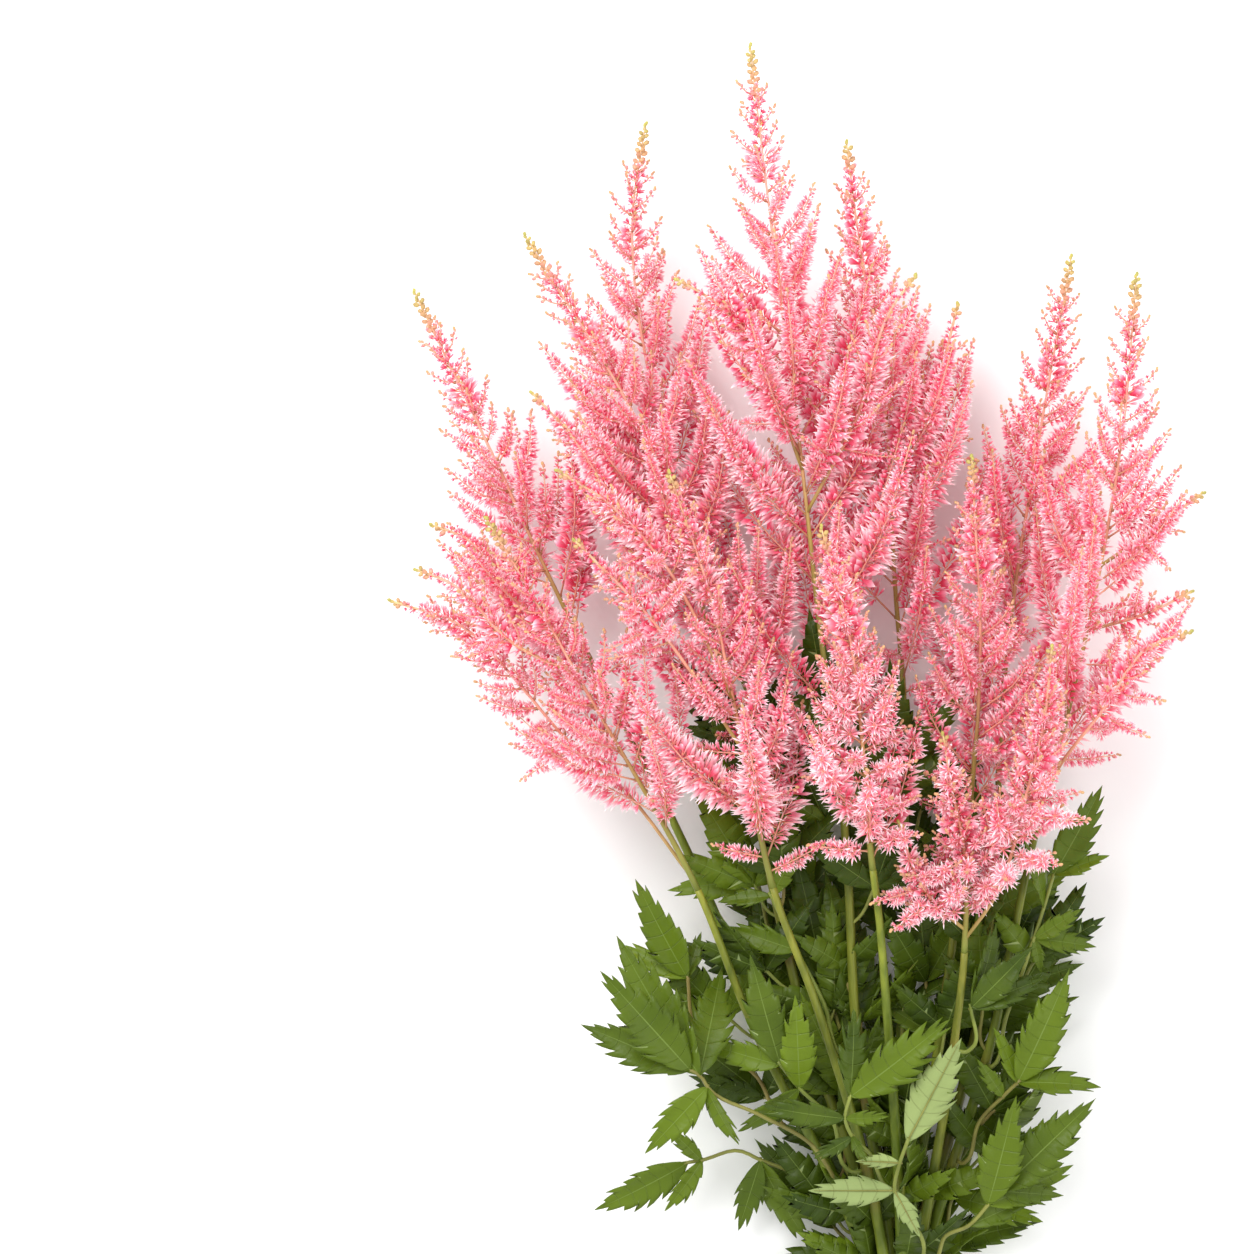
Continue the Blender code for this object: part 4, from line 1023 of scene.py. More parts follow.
def whorl_shape(rng, rays, width, petal_share):
    """The rays of the florets round one height of a raceme that runs along +Z, of unit reach."""
    bm = new_shape()
    turn = rng.uniform(0, math.tau)
    for k in range(rays):
        azimuth = turn + GOLDEN_ANGLE * k
        slope = math.radians(rng.uniform(*WHORL_SLOPES))
        tip = tilted(azimuth, slope, rng.uniform(*WHORL_LENGTHS)) + UP * rng.uniform(*WHORL_LIFTS)
        facing = Vector((-math.sin(azimuth), math.cos(azimuth), rng.uniform(*WHORL_TWISTS)))
        reach, breadth, material = WHORL_PETAL if rng.random() < petal_share else WHORL_STAMEN
        ray(bm, tip * WHORL_FOOT, tip * reach, width * breadth, WHORL_WIDEST, material, facing)
    return bm


def bud_shape(rng, petals):
    """A closed bud of unit radius on its stalk along +Z, with a few petal tips if it is about to open."""
    bm = new_shape()
    ball = bmesh.ops.create_icosphere(bm, subdivisions=1, radius=1.0)["verts"]
    share = bm.verts.layers.float["share"]
    for v in ball:
        x, y = v.co.x * rng.uniform(*BUD_SQUASH), v.co.y * rng.uniform(*BUD_SQUASH)
        v.co = Vector((x, y, v.co.z * BUD_STRETCH + BUD_MIDDLE))
        v[share] = mix(0.0, 1.0, (v.co.z - BUD_BOTTOM) / (2 * BUD_STRETCH))
    for face in bm.faces:
        face.material_index = BUD
        face.smooth = True
    ray(bm, UP * BUD_STALK_TOP, UP * BUD_STALK_FOOT, *BUD_STALK, BUD, FORWARD, BUD_STALK_SHARES)
    set_rays(bm, rng, BUD_TIPS, petals, UP * BUD_OPENING)
    return bm


class Stamp:
    """A small shape that is set many times into a larger mesh."""

    def __init__(self, bm):
        self.mesh = bpy.data.meshes.new("stamp")
        bm.to_mesh(self.mesh)
        bm.free()
        corners = np.zeros(len(self.mesh.vertices) * 3)
        self.mesh.vertices.foreach_get("co", corners)
        self.corners = corners.reshape(-1, 3)

    def set_in(self, bm, foot, direction, spin, size, tint):
        """Adds the shape with its origin at a foot, its +Z along a direction, and its own tint."""
        turned = direction.to_track_quat("Z", "Y").to_matrix() @ Matrix.Rotation(spin, 3, "Z")
        corners = self.corners @ (np.array(turned).T * size) + np.array(foot)
        corners[:, 2] = np.maximum(corners[:, 2], 0.0)
        self.mesh.vertices.foreach_set("co", corners.ravel())
        self.mesh.attributes["tint"].data.foreach_set("value", np.full(len(corners), tint))
        bm.from_mesh(self.mesh)


def make_stamps():
    """A few shapes of each kind of floret, whorl and bud."""
    rng = random.Random(STAMP_SEED)
    stamps = {}
    for kind, (openings, *floret) in FLORETS.items():
        stamps[kind] = [Stamp(floret_shape(rng, opening, *floret)) for opening in openings]
    for kind, (count, *whorl) in WHORLS.items():
        stamps[kind] = [Stamp(whorl_shape(rng, *whorl)) for _ in range(count)]
    for kind, tips in BUDS.items():
        stamps[kind] = [Stamp(bud_shape(rng, petals)) for petals in tips]
    return stamps


class Dresser:
    """Sets buds and florets along the racemes of one plume."""

    def __init__(self, stem, stamps, depth, rng):
        self.bm = new_shape()
        self.stamps = stamps
        self.depth = depth
        self.rng = rng
        self.paleness = PALENESS[stem.name]
        self.fluff = FLUFF.get(stem.name, USUAL_FLUFF)
        self.starry = self.fluff > STARRY_FLUFF

    def put(self, kind, foot, direction, size, tint):
        """Sets a shape of one kind, turned at random about its axis."""
        stamp = self.rng.choice(self.stamps[kind])
        stamp.set_in(self.bm, foot, direction, self.rng.uniform(*SPINS), size, tint)

    def bud(self, foot, heading, outward, from_tip, ends, on_spike):
        """Sets a bud, and gives the distance to the next."""
        green, closed, _ = ends
        lean = BUD_LEAN if from_tip > END_BUDS else END_BUD_LEAN
        size = BUD_SIZE * mix(LEAST_BUD, 1.0, from_tip / BUD_GROWTH) * self.rng.uniform(*BUD_SIZES)
        ripe = from_tip / closed
        if not on_spike:
            size *= SMALL_BUD
            ripe += RIPER
        direction = (heading + outward * lean).normalized()
        self.put("green" if from_tip < green else "pink", foot, direction, size, ripe)
        return BUD_STEP * self.rng.uniform(*BUD_STEPS)

    def young_florets(self, foot, heading, outward, reach, tint):
        """Sets half-open florets side by side, and gives the distance to the next."""
        for _ in range(YOUNG_FLORETS):
            lean = FLORET_LEAN * self.rng.uniform(*YOUNG_LEANS)
            aside = Matrix.Rotation(self.rng.uniform(*YOUNG_SWINGS), 3, heading) @ outward
            size = min(reach, LARGE_FLORET) * YOUNG_SHARE * self.rng.uniform(*USUAL_SPREAD)
            self.put("half", foot, aside * math.cos(lean) + heading * math.sin(lean), size, tint + YOUNG_TINT)
        return YOUNG_PITCH * self.rng.uniform(*USUAL_SPREAD)

    def whorl(self, foot, heading, outward, reach, tint, plain):
        """Sets a whorl, perhaps with a whole floret on it, and gives the distance to the next."""
        rng = self.rng
        kind = "small" if reach < WHORL_SMALL else "large" if reach > WHORL_LARGE else "middling"
        spin = rng.uniform(0, math.tau)
        stamp = rng.choice(self.stamps["plain" if plain else kind])
        # Painted shade on the whorls under the stars of a starry plume
        shade = STARRY_SHADE if self.starry else 0
        stamp.set_in(self.bm, foot, heading, spin, reach * rng.uniform(*WHORL_SIZES), tint + shade)
        if not plain and rng.random() < (STARRY_CHANCE if self.starry else FLORET_CHANCE):
            lean = FLORET_LEAN * rng.uniform(*OPEN_LEANS)
            direction = outward * math.cos(lean) + heading * math.sin(lean)
            size = min(reach, LARGE_FLORET) * rng.uniform(*OPEN_SIZES)
            kind, paler = "open", OPEN_TINT
            if self.starry and outward.z > STAR_LEAST_RISE:
                direction = (direction + UP * STAR_LIFT).normalized()
                size *= STAR_SIZE
                # An upturned star is paler: a painted highlight
                kind, paler = "star", STAR_TINT
            rng.choice(self.stamps[kind]).set_in(self.bm, foot, direction, spin, size, tint + paler)
        pitch = min(max(WHORL_PITCH * reach, WHORL_PITCHES[0]), WHORL_PITCHES[1])
        return pitch * rng.uniform(*USUAL_SPREAD) * (PLAIN_PITCH if plain else 1.0)

    def dress(self, raceme, spike):
        """Green buds at the raceme's tip, then closed pink ones, then half-open florets, then whorls."""
        path = raceme.path
        ends = [end * spike for end in SPIKE_ENDS]
        if not spike:
            closed = min(RACEME_CLOSED, RACEME_CLOSED_SHARE * path.length)
            ends = [min(RACEME_GREEN, RACEME_GREEN_SHARE * path.length), closed, closed * YOUNG_RATIO]
        place = path.length
        turn = self.rng.uniform(0, math.tau)
        while place > raceme.bare:
            from_tip = path.length - place
            foot = path.at(place)
            heading, side, up = path.frame(place)
            outward = side * math.cos(turn) + up * math.sin(turn)
            turn += GOLDEN_ANGLE
            if from_tip < ends[1]:
                place -= self.bud(foot, heading, outward, from_tip, ends, bool(spike))
                continue
            reach = raceme.reach(place) * self.fluff
            plain = self.depth.at(foot) >= HIDDEN_DEPTH
            # Florets deep in the flowers are simpler, and tinted darker as painted shade
            tint = self.paleness + self.rng.uniform(*TINTS) + (BURIED_SHADE_TINT if plain else 0)
            if from_tip < ends[2]:
                place -= self.young_florets(foot, heading, outward, reach, tint)
            else:
                place -= self.whorl(foot, heading, outward, reach, tint, plain)


def spreading_raceme(axis, below, turn, size):
    """A raceme that leaves the lower part of an axis nearly square to it."""
    return bent_raceme(axis, below, turn, SPREAD_LENGTH * size, SPREAD_ANGLES, SPREAD_LOWEST)


def fill_racemes(crowd, owner, axes, crowding):
    """Finer racemes between those of the solid model, which may press into their neighbours."""
    rng = random.Random(FILL_SEED + owner)
    made = []
    for axis, flowering in axes:
        below = FILL_FROM
        turn = rng.uniform(0, math.tau)
        while below < flowering - LAST_RACEME_MARGIN:
            size = rng.uniform(*FILL_SIZES)
            low = below > SPREAD_FROM * flowering and rng.random() < SPREAD_CHANCE
            shape = spreading_raceme if low else raceme_at
            raceme = clear_raceme(crowd, owner, axis, below, turn, size, FILL_FIT, shape)
            if raceme:
                made.append(raceme)
                crowd.add(raceme.balls(CLEAR_FOOT), owner)
            turn += GOLDEN_ANGLE
            below += (FILL_STEP + FILL_GROWTH * below) * crowding
    return made


class Depth:
    """How deep a place lies in the flowers: the fewest filled cells between it and the sides or the top."""

    def __init__(self, racemes):
        centres = np.array([ball[:3] for raceme in racemes for ball in raceme.balls(0.0)])
        cells = np.floor(centres / CELL).astype(int)
        self.lowest = cells.min(0) - 1
        filled = np.zeros(cells.max(0) - self.lowest + 2, int)
        filled[tuple((cells - self.lowest).T)] = 1
        below = [np.cumsum(filled, axis) - filled for axis in range(3)]
        above = [filled.sum(axis, keepdims=True) - filled - count for axis, count in enumerate(below)]
        self.counts = np.minimum.reduce(below[:2] + above)

    def at(self, place):
        """The depth of a place, in cells."""
        cell = np.floor(np.array(place) / CELL).astype(int) - self.lowest
        return self.counts[tuple(np.clip(cell, 0, np.array(self.counts.shape) - 1))]


def blade_point(leaflet, share, across, teeth, phase, size, wave):
    """A point of a leaflet's edge or face, moved by the tooth it is in and by the blade's ripples."""
    out, forward = TOOTH_PHASES[phase]
    rim = abs(across) ** TOOTH_POWER
    fading = min(1.0, TIP_FADING * (1 - share)) * min(1.0, FOOT_FADING * share)
    half = max(leaflet.half_width(min(share, 1.0)), 0.0)
    shift = forward * size / teeth * rim * fading
    shift += VEIN_SLANT * abs(across) * half / leaflet.length * (1 - share)
    shift = min(shift, LAST_SHARE - share) if share < LAST_SHARE else 0.0
    width = half * (1 + (out - 1) * TOOTH_STRETCH * size * rim * fading)
    width = max(width, LEAST_WIDTH * (1 - share))
    angle = wave + RIPPLE_ALONG * share + RIPPLE_ACROSS * across
    ripple = math.sin(angle) * RIPPLE_HEIGHT * leaflet.length * abs(across) ** 2 * fading
    return leaflet.point(share + shift, -across * width) + leaflet.upper * ripple


def leaflet_body(bm, leaflet, cut, rng, columns=LEAF_COLUMNS, fresh_and_lit=0.0):
    """A thin toothed sheet, folded along its rib: a grid moved to its place, then given a thickness."""
    uv = bm.loops.layers.uv["leaf"]
    tint = bm.verts.layers.float["tint"]
    teeth = min(max(round(leaflet.length / TOOTH_LENGTH), LEAST_TEETH), MOST_TEETH)
    rows = teeth * len(TOOTH_PHASES)
    first = len(bm.verts)
    bmesh.ops.create_grid(bm, x_segments=rows, y_segments=2 * columns, size=0.5)
    bm.verts.ensure_lookup_table()
    grid = bm.verts[first:]
    faces = {f for v in grid for f in v.link_faces}
    wave = rng.uniform(0, math.tau)
    # How far a leaflet leans to the bright colour: at random, above a least share that gives the outer leaves
    # painted light
    shade = rng.uniform(fresh_and_lit, 1)
    sizes = [[cut * rng.uniform(*TOOTH_SIZES) for _ in range(teeth + 1)] for _ in range(2)]
    flat = {}
    for v in grid:
        share, across = v.co.x + 0.5, v.co.y * 2
        flat[v] = (share, across)
        tooth, phase = divmod(round(share * rows), len(TOOTH_PHASES))
        v.co = blade_point(leaflet, share, across, teeth, phase, sizes[across > 0][tooth], wave)
    for face in faces:
        face.smooth = True
        for loop in face.loops:
            share, across = flat[loop.vert]
            loop[uv].uv = (share * teeth, across * 0.5 + 0.5)
    kept = set(bm.faces) - faces
    lifted = bmesh.ops.extrude_face_region(bm, geom=list(faces))["geom"]
    corners = [item for item in lifted if isinstance(item, bmesh.types.BMVert)]
    bmesh.ops.translate(bm, verts=corners, vec=leaflet.upper * LEAF_SHEET)
    bm.normal_update()
    grown = set(bm.faces) - kept
    for face in grown:
        face.material_index = UPPER if face.normal.dot(leaflet.upper) > UNDERSIDE else UNDER
    for v in {v for face in grown for v in face.verts}:
        v.co.z = max(v.co.z, 0.0)
        v[tint] = shade
    rib = Path([leaflet.point(share, 0.0) - leaflet.upper * RIB_RADIUS * RIB_SINK for share in RIB_PLACES])
    rod(bm, rib, RIB_START, rib.length, lambda d: mix(RIB_RADIUS, RIB_TIP_RADIUS, d / rib.length), RIB_ROD,
        material=STALK)


def new_leaf_shape():
    """An empty mesh for leaves, with a map for their veins."""
    bm = new_shape()
    bm.loops.layers.uv.new("leaf")
    return bm


def add_piece(name, bm, materials, solid=None):
    """A finished piece that belongs to the one body, takes the materials it is given and may stand for a
    solid.
    """
    mesh = bpy.data.meshes.new(name)
    bm.to_mesh(mesh)
    bm.free()
    for material in materials:
        mesh.materials.append(material)
    piece = bpy.data.objects.new(name, mesh)
    bpy.context.scene.collection.objects.link(piece)
    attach(piece, "root")
    if solid:
        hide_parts(solid)


def shader_of(name, roughness, specular):
    """A new material, its node tree and its shader."""
    material = bpy.data.materials.new(name)
    material.use_nodes = True
    shader = material.node_tree.nodes["Principled BSDF"]
    shader.inputs["Roughness"].default_value = roughness
    shader.inputs["Specular IOR Level"].default_value = specular
    return material, material.node_tree, shader


def give(tree, socket, value):
    """Sets a socket to a number or a colour, or links another socket to it."""
    if isinstance(value, bpy.types.NodeSocket):
        tree.links.new(value, socket)
    elif isinstance(value, tuple) and socket.type == "RGBA":
        socket.default_value = (*value, 1.0)
    else:
        socket.default_value = value


def node(tree, kind, values=(), **settings):
    """A new node with its settings, and with values for its inputs by their names or places."""
    made = tree.nodes.new(kind)
    for key, value in settings.items():
        setattr(made, key, value)
    for key, value in dict(values).items():
        give(tree, made.inputs[key], value)
    return made


def number(tree, name):
    """The number that each point carries under a name."""
    return node(tree, "ShaderNodeAttribute", attribute_name=name).outputs["Fac"]


def ramp(tree, source, stops):
    """Colours between stops, each a place and a colour."""
    made = node(tree, "ShaderNodeValToRGB", {"Fac": source})
    elements = made.color_ramp.elements
    while len(elements) < len(stops):
        elements.new(0.5)
    for element, (place, colour) in zip(elements, stops):
        element.position = place
        element.color = (*colour, 1.0)
    return made.outputs["Color"]


def blended(tree, share, first, second, mode="MIX"):
    """Two colours blended by a share."""
    values = {0: share, 6: first, 7: second}
    return node(tree, "ShaderNodeMix", values, data_type="RGBA", blend_type=mode).outputs[2]


def sum_up(tree, operation, first, second=None, clamp=False):
    """Arithmetic on numbers and sockets."""
    values = {0: first} if second is None else {0: first, 1: second}
    return node(tree, "ShaderNodeMath", values, operation=operation, use_clamp=clamp).outputs[0]


def group_of(name, inputs, outputs):
    """A new shader node group with named inputs and outputs, and its two end nodes."""
    tree = bpy.data.node_groups.new(name, "ShaderNodeTree")
    for way, sockets in (("INPUT", inputs), ("OUTPUT", outputs)):
        for socket, kind in sockets.items():
            tree.interface.new_socket(socket, in_out=way, socket_type="NodeSocket" + kind)
    return tree, node(tree, "NodeGroupInput").outputs, node(tree, "NodeGroupOutput").inputs


def mottle_group():
    """Soft patches, between a dark and a light colour, that a piece's colour is multiplied by."""
    tree, given, result = group_of(
        "mottle",
        {"Colour": "Color", "Dark": "Color", "Light": "Color", "From": "Float", "To": "Float",
         "Scale": "Float", "Detail": "Float", "Stretch": "Vector"},
        {"Colour": "Color", "Noise": "Float"})
    place = node(tree, "ShaderNodeTexCoord").outputs["Object"]
    drawn_out = node(tree, "ShaderNodeVectorMath", {0: place, 1: given["Stretch"]}, operation="MULTIPLY")
    values = {"Vector": drawn_out.outputs[0], "Scale": given["Scale"], "Detail": given["Detail"]}
    noise = node(tree, "ShaderNodeTexNoise", values).outputs["Fac"]
    values = {"Value": noise, "From Min": given["From"], "From Max": given["To"]}
    share = node(tree, "ShaderNodeMapRange", values)
    patches = blended(tree, share.outputs["Result"], given["Dark"], given["Light"])
    give(tree, result["Colour"], blended(tree, 1.0, given["Colour"], patches, "MULTIPLY"))
    give(tree, result["Noise"], noise)
    return tree


def vein_group():
    """A leaflet's rib and side veins, over a map that counts its teeth along and its width across."""
    tree, given, result = group_of(
        "leaf_veins", {"Rib Width": "Float", "Rib Strength": "Float", "Vein Strength": "Float"},
        {"Mask": "Float", "Ridge": "Float"})
    place = node(tree, "ShaderNodeUVMap", uv_map="leaf").outputs["UV"]
    spot = node(tree, "ShaderNodeSeparateXYZ", {"Vector": place})
    middle = sum_up(tree, "ABSOLUTE", sum_up(tree, "SUBTRACT", spot.outputs["Y"], 0.5))
    within = sum_up(tree, "LESS_THAN", middle, given["Rib Width"])
    rib = sum_up(tree, "MULTIPLY", within, given["Rib Strength"])
    phase = sum_up(tree, "FRACT", sum_up(tree, "ADD", spot.outputs["X"], VEIN_PHASE))
    off = sum_up(tree, "ABSOLUTE", sum_up(tree, "SUBTRACT", phase, 0.5))
    veins = sum_up(tree, "MULTIPLY", sum_up(tree, "SUBTRACT", VEIN_WIDTH, off, True), VEIN_EDGE, True)
    faint = sum_up(tree, "MULTIPLY", veins, given["Vein Strength"])
    give(tree, result["Mask"], sum_up(tree, "MAXIMUM", rib, faint))
    give(tree, result["Ridge"], sum_up(tree, "MAXIMUM", rib, veins))
    return tree


def set_group(tree, build, values):
    """The outputs of a shader node group, which is built the first time, with this place's own values."""
    name = build.__name__
    if name not in GROUPS:
        GROUPS[name] = build()
    return node(tree, "ShaderNodeGroup", values, node_tree=GROUPS[name]).outputs


def mottled(tree, scale, span, dark, light, colour=WHITE, detail=2.0, stretch=WHITE):
    """A colour with soft patches over it, and the noise they follow over a span of it."""
    made = set_group(tree, mottle_group, {
        "Colour": colour, "Dark": dark, "Light": light, "From": span[0], "To": span[1], "Scale": scale,
        "Detail": detail, "Stretch": stretch})
    return made["Colour"], made["Noise"]


def finish(material, shader, colour, height=None, relief=()):
    """Joins the colour and, if there is a relief, its height to the shader."""
    tree = material.node_tree
    give(tree, shader.inputs["Base Color"], colour)
    if relief:
        values = {"Strength": relief[0], "Distance": relief[1], "Height": height}
        give(tree, shader.inputs["Normal"], node(tree, "ShaderNodeBump", values).outputs["Normal"])
    return material


def finish_of(name):
    """The material of a plain look."""
    look = LOOKS[name]
    material, tree, shader = shader_of(name, look.roughness, look.specular)
    colour = WHITE
    if look.low:
        share = number(tree, "share")
        colour = ramp(tree, share, look.low)
    if look.high:
        colour = blended(tree, number(tree, "tint"), colour, ramp(tree, share, look.high))
    colour, noise = mottled(
        tree, look.scale, look.span, look.dark, look.light, colour, look.detail, look.stretch)
    return finish(material, shader, colour, noise, look.relief)


def leaf_skin(name):
    """One face of a leaf, with the same veins as the other."""
    roughness, dark, light, fresh_and_lit, vein = SKINS[name]
    material, tree, shader = shader_of(name, roughness, SKIN_SPECULAR)
    veins = set_group(tree, vein_group, {"Rib Width": 0.014, "Rib Strength": 0.7, "Vein Strength": 0.16})
    base, _ = mottled(tree, PATCH_SCALE, WIDE, dark, light, detail=5.0)
    base = blended(tree, sum_up(tree, "POWER", number(tree, "tint"), FRESH_AND_LIT_POWER), base, fresh_and_lit)
    _, fine = mottled(tree, FINE_SCALE, WHOLE, dark, light, detail=4.0)
    relief = sum_up(tree, "SUBTRACT", sum_up(tree, "MULTIPLY", fine, FINE_RELIEF), veins["Ridge"])
    return finish(material, shader, blended(tree, veins["Mask"], base, vein), relief, SKIN_RELIEF)


def leaf_stalk():
    """The green or brown stalk of a leaf."""
    material, tree, shader = shader_of("leaf_stalk", 0.42, 0.3)
    green, brown = [
        mottled(tree, STALK_PATCH_SCALE, SOFT, *pair, detail=3.0)[0] for pair in (STALK_GREENS, STALK_BROWNS)]
    return finish(material, shader, blended(tree, number(tree, "tint"), green, brown))


def build_plumes(plumes, crowd):
    """Each plume's florets in one piece, and its axes with their bracts in another."""
    stamps = make_stamps()
    petals = [finish_of(name) for name in ("petal", "stamen", "bud")]
    greens = [finish_of(name) for name in ("flowering_axis", "bract")]
    filled = []
    for owner, (axes, racemes) in enumerate(plumes):
        crowding = FILL_CROWDING.get(STEMS[owner].name, 1.0)
        filled.append(racemes + fill_racemes(crowd, owner, axes, crowding))
    depth = Depth([raceme for racemes in filled for raceme in racemes])
    for owner, (stem, (axes, _), racemes) in enumerate(zip(STEMS, plumes, filled)):
        dresser = Dresser(stem, stamps, depth, random.Random(DRESS_SEED + owner))
        for place, raceme in enumerate(racemes):
            spike = SIDE_SPIKE if place else SPIKE_SHARES.get(stem.name, 1.0)
            dresser.dress(raceme, spike if place < len(axes) else 0)
        add_piece("florets_" + stem.name, dresser.bm, petals, "plume_" + stem.name)
        add_piece("axes_" + stem.name, axes_shape(stem, axes, racemes), greens)


def axes_shape(stem, axes, racemes):
    """A plume's axes, slimmer than the solid's, and the thin ones of its racemes with their bracts."""
    bm = new_shape()
    main = axes[0][0]
    foot = main.length - plume_length(stem)
    slimming = MAIN_AXIS_SLIM_FROM * (main.length - foot)

    def main_radius(distance):
        slimness = mix(1.0, MAIN_AXIS_SLIMNESS, (distance - foot) / slimming)
        return stem_radius(stem, main, distance) * slimness

    rod(bm, main, foot, main.length, main_radius, MAIN_AXIS_ROD)
    for axis, _ in axes[1:]:
        radius = side_axis_radius(axis)
        rod(bm, axis, 0.0, axis.length, lambda d: SIDE_AXIS_SLIMNESS * radius(d), SIDE_AXIS_ROD,
            SIDE_AXIS_SHARES)
    for path in [raceme.path for raceme in racemes[len(axes):]]:
        rod(bm, path, 0.0, path.length - RACEME_END, lambda d: mix(*RACEME_RADII, d / path.length),
            RACEME_ROD, RACEME_COLOUR_SHARES)
        heading, _, up = path.frame(0.0)
        tip = path.at(0.0) + (heading * BRACT_ALONG + up * BRACT_UP) * MM
        ray(bm, path.at(0.0), tip, BRACT_WIDTH, BRACT_WIDEST, BRACT, up)
    return bm


def build_stems():
    """Ribbed stems with a knot at each leaf's foot and a pale cut face."""
    materials = [finish_of(name) for name in ("stem", "pith")]
    for owner, stem in enumerate(STEMS):
        path = stem_path(stem)
        knots = [leaf_place(leaf, stem) for leaf in LEAVES if leaf.stem == stem.name]
        tint = (owner * STEM_TINT_STEP % len(STEMS)) / STEM_TINT_STEPS

        def near(distance):
            """How near a place is to a knot, from 0 to 1."""
            return max([math.exp(-(((distance - knot) / KNOT_WIDTH) ** 2)) for knot in knots], default=0.0)

        bm = new_shape()
        rod(bm, path, 0.0, path.length - plume_length(stem),
            lambda d: stem_radius(stem, path, d) * (1 + KNOT_SWELLING * near(d)), STEM_ROD,
            tint=lambda d: tint + KNOT_TINT * near(d), material=SKIN, ribs=RIB_HEIGHT)
        cut = min(bm.faces, key=lambda face: face.calc_center_median().y)
        bmesh.ops.inset_individual(bm, faces=[cut], thickness=CUT_RIM)
        cut.material_index = PITH
        add_piece("stalk_" + stem.name, bm, materials, "stem_" + stem.name)


def build_leaves(crowd, materials):
    """Each compound leaf of the solid model, with teeth."""
    for place, leaf in enumerate(LEAVES):
        placed = CompoundLeaf(crowd, len(STEMS) + place, leaf)
        rng = random.Random(LEAF_SEED + place)
        # Outer leaves lean to the bright colour as painted light; the deep ones keep darker colours as painted
        # shade
        fresh_and_lit = 0.0 if any(part in leaf.name for part in SHADED_LEAVES) else OUTER_PAINTED_LIGHT
        bm = new_leaf_shape()
        end = placed.stalk.length + STALK_END
        rod(bm, placed.stalk, 0.0, end, lambda d: STALK_SLIMNESS * placed.stalk_radius(d), LEAF_STALK_ROD,
            tint=rng.uniform(0, 1), material=STALK)
        for leaflet in placed.leaflets:
            leaflet_body(bm, leaflet, LEAF_CUT.get(leaf.name, 1.0), rng, fresh_and_lit=fresh_and_lit)
        add_piece(leaf.name.replace("leaf", "frond"), bm, materials, leaf.name)


def inner_leaf(bm, crowd, owner, foot, heading, outward, fit, rng):
    """A small leaf from a foot on a stem, with those of its three leaflets that fit."""
    end = foot + (heading * rng.uniform(*INNER_REACHES) + outward * rng.uniform(*INNER_OFFSETS)) * MM
    end.z = max(end.z, INNER_LOWEST)
    facing = Vector((rng.uniform(*INNER_FACING_X), rng.uniform(*INNER_FACING_Y), 1))
    across = heading.cross(UP).normalized()
    plans = [(heading * INNER_TIP[0] + outward * INNER_TIP[1], rng.uniform(*INNER_TIP_LENGTHS))]
    for way in (1, -1):
        reach = heading * INNER_SIDE + across * way * rng.uniform(*INNER_SIDE_SWINGS)
        plans.append((reach, rng.uniform(*INNER_SIDE_LENGTHS)))
    grown = []
    for reach, length in plans:
        leaflet = clear_leaflet(crowd, owner, end, end + reach.normalized() * length * MM, facing, fit)
        if leaflet:
            grown.append(leaflet)
            crowd.add(list(leaflet.balls(0.0)), owner)
    if grown:
        bend = foot + (heading * INNER_STALK_BEND[0] + outward * INNER_STALK_BEND[1]) * MM
        stalk = Path([foot, bend, end])
        rod(bm, stalk, 0.0, stalk.length + INNER_STALK_END, lambda d: INNER_STALK_RADIUS, INNER_STALK_ROD,
            tint=rng.random(), material=STALK)
    for leaflet in grown:
        leaflet_body(bm, leaflet, INNER_CUT, rng, INNER_COLUMNS)


def build_inner_leaves(crowd, materials):
    """Small leaves that only the looks have: they fill the depth between the stems."""
    rng = random.Random(INNER_SEED)
    bm = new_leaf_shape()
    owner = len(STEMS) + len(LEAVES)
    for name in INNER_STEMS:
        stem = STEMS[STEM_NAMES.index(name)]
        path = stem_path(stem)
        for height in INNER_HEIGHTS + (INNER_TALL_HEIGHTS if name in INNER_TALL_STEMS else ()):
            owner += 1
            place = height * MM * rng.uniform(*INNER_HEIGHT_SPREAD) - CUT_END
            heading, side, up = path.frame(place)
            turn = rng.uniform(0, math.tau)
            outward = side * math.cos(turn) + up * math.sin(turn) * INNER_FLATNESS
            fit = INNER_TALL_FIT if height in INNER_TALL_HEIGHTS else INNER_FIT
            inner_leaf(bm, crowd, owner, path.at(place), heading, outward, fit, rng)
    add_piece("inner_leaves", bm, materials)


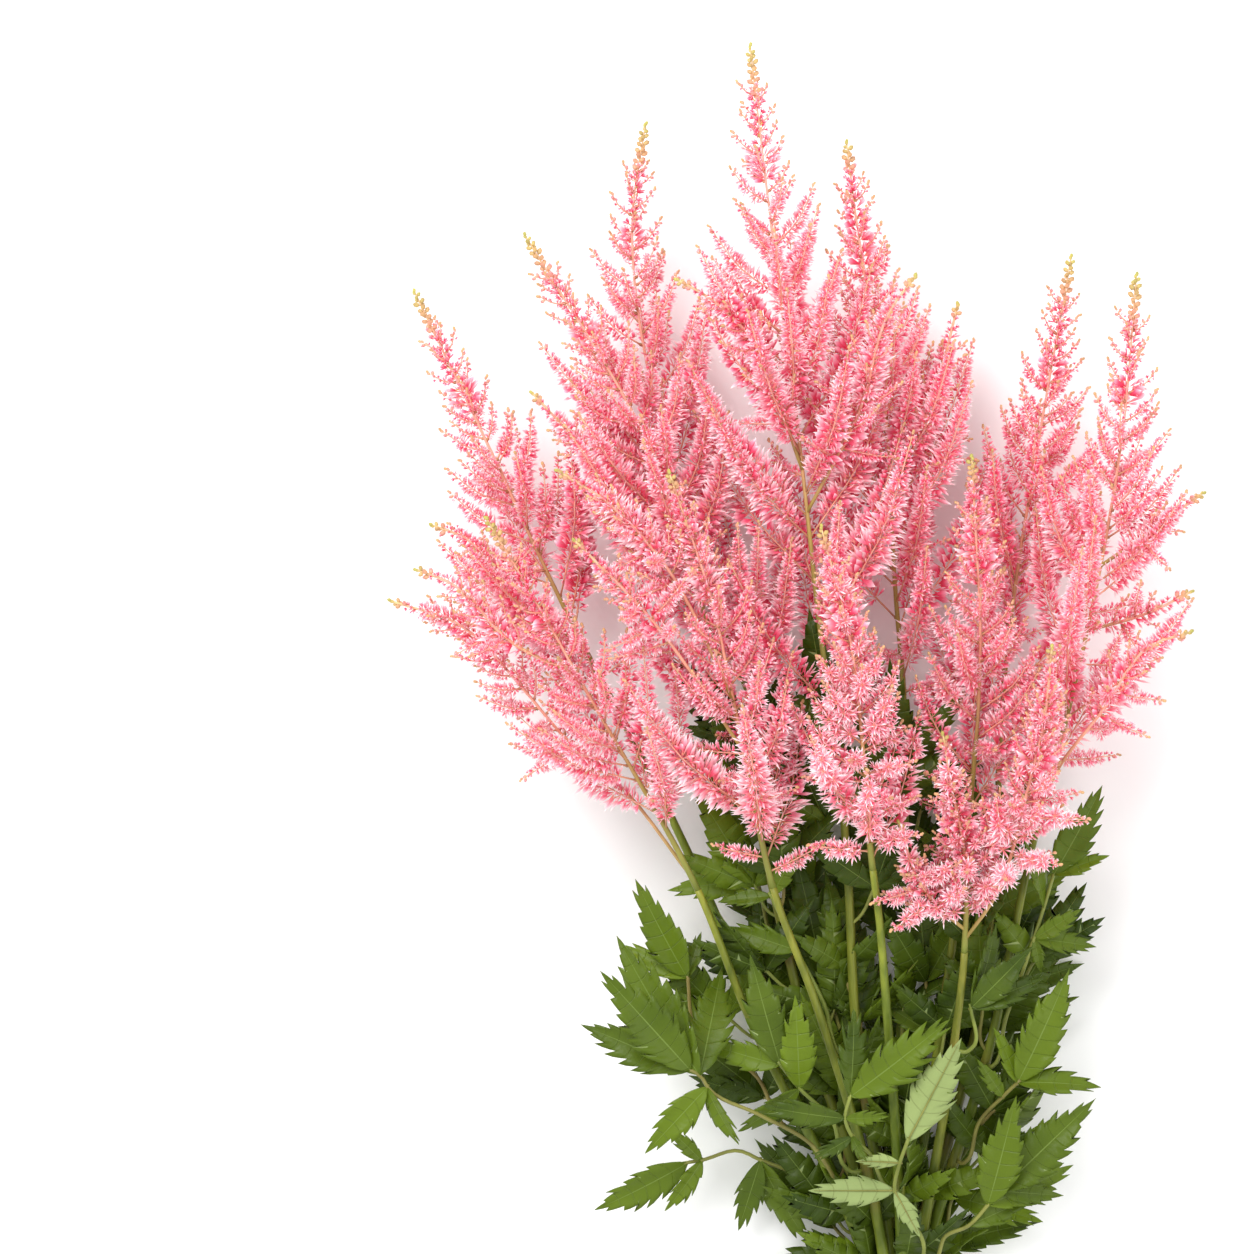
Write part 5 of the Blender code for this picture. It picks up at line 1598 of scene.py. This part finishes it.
def build_tie():
    """Close turns of twine round the stems."""
    bm = new_shape()
    radius = TIE_INSIDE + TWINE_RADIUS
    count = TWINE_TURNS * TWINE_POINTS
    points = []
    for k in range(count + 1):
        angle = math.tau * k / TWINE_POINTS
        y = (k / count - 0.5) * (TIE_WIDTH - 2 * TWINE_RADIUS)
        points.append(Vector((radius * math.cos(angle), y, TIE_HEIGHT + radius * math.sin(angle))))
    twine = Path(points)
    rod(bm, twine, 0.0, twine.length, lambda d: TWINE_RADIUS, (TWINE_SIDES, TWINE_TURNS * TWINE_CUTS))
    add_piece("twine", bm, [finish_of("twine")], "tie")


def light():
    """Even white daylight and two soft lamps."""
    scene = bpy.context.scene
    scene.view_settings.view_transform = "Standard"
    scene.world = bpy.data.worlds.new("studio")
    scene.world.use_nodes = True
    daylight = scene.world.node_tree.nodes["Background"].inputs
    daylight["Color"].default_value = (*WHITE, 1.0)
    daylight["Strength"].default_value = DAYLIGHT
    for name, (spot, power) in LAMPS.items():
        lamp = bpy.data.lights.new(name, "AREA")
        lamp.size = LAMP_SIZE
        lamp.energy = power
        stand = bpy.data.objects.new(name, lamp)
        stand.location = spot
        stand.rotation_euler = (LAMP_AIM - Vector(spot)).to_track_quat("-Z", "Y").to_euler()
        scene.collection.objects.link(stand)


def lay_floor():
    """The white surface under the bunch, a little below the stems so that no faces share a plane."""
    bm = bmesh.new()
    bmesh.ops.create_grid(bm, x_segments=1, y_segments=1, size=FLOOR_SIZE / 2)
    mesh = bpy.data.meshes.new("floor")
    bm.to_mesh(mesh)
    bm.free()
    mesh.materials.append(finish_of("floor"))
    floor = bpy.data.objects.new("floor", mesh)
    floor.location.z = -FLOOR_DROP
    bpy.context.scene.collection.objects.link(floor)


def set_camera():
    """A camera that looks straight down and holds the photograph's frame at the middle of the bunch."""
    lens = bpy.data.cameras.new("camera")
    lens.sensor_width = SENSOR_WIDTH
    lens.lens = SENSOR_WIDTH * (CAMERA_HEIGHT - MIDDLE_HEIGHT) / FRAME_WIDTH
    camera = bpy.data.objects.new("camera", lens)
    camera.location = (*FRAME_CENTRE, CAMERA_HEIGHT)
    bpy.context.scene.collection.objects.link(camera)
    bpy.context.scene.camera = camera


def main():
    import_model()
    plumes, crowd = lay_out_plumes()
    build_plumes(plumes, crowd.copy())
    build_stems()
    leaves = [leaf_skin("leaf_upper"), leaf_skin("leaf_under"), leaf_stalk()]
    build_leaves(crowd, leaves)
    build_inner_leaves(crowd, leaves)
    build_tie()
    light()
    lay_floor()
    set_camera()
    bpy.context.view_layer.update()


main()
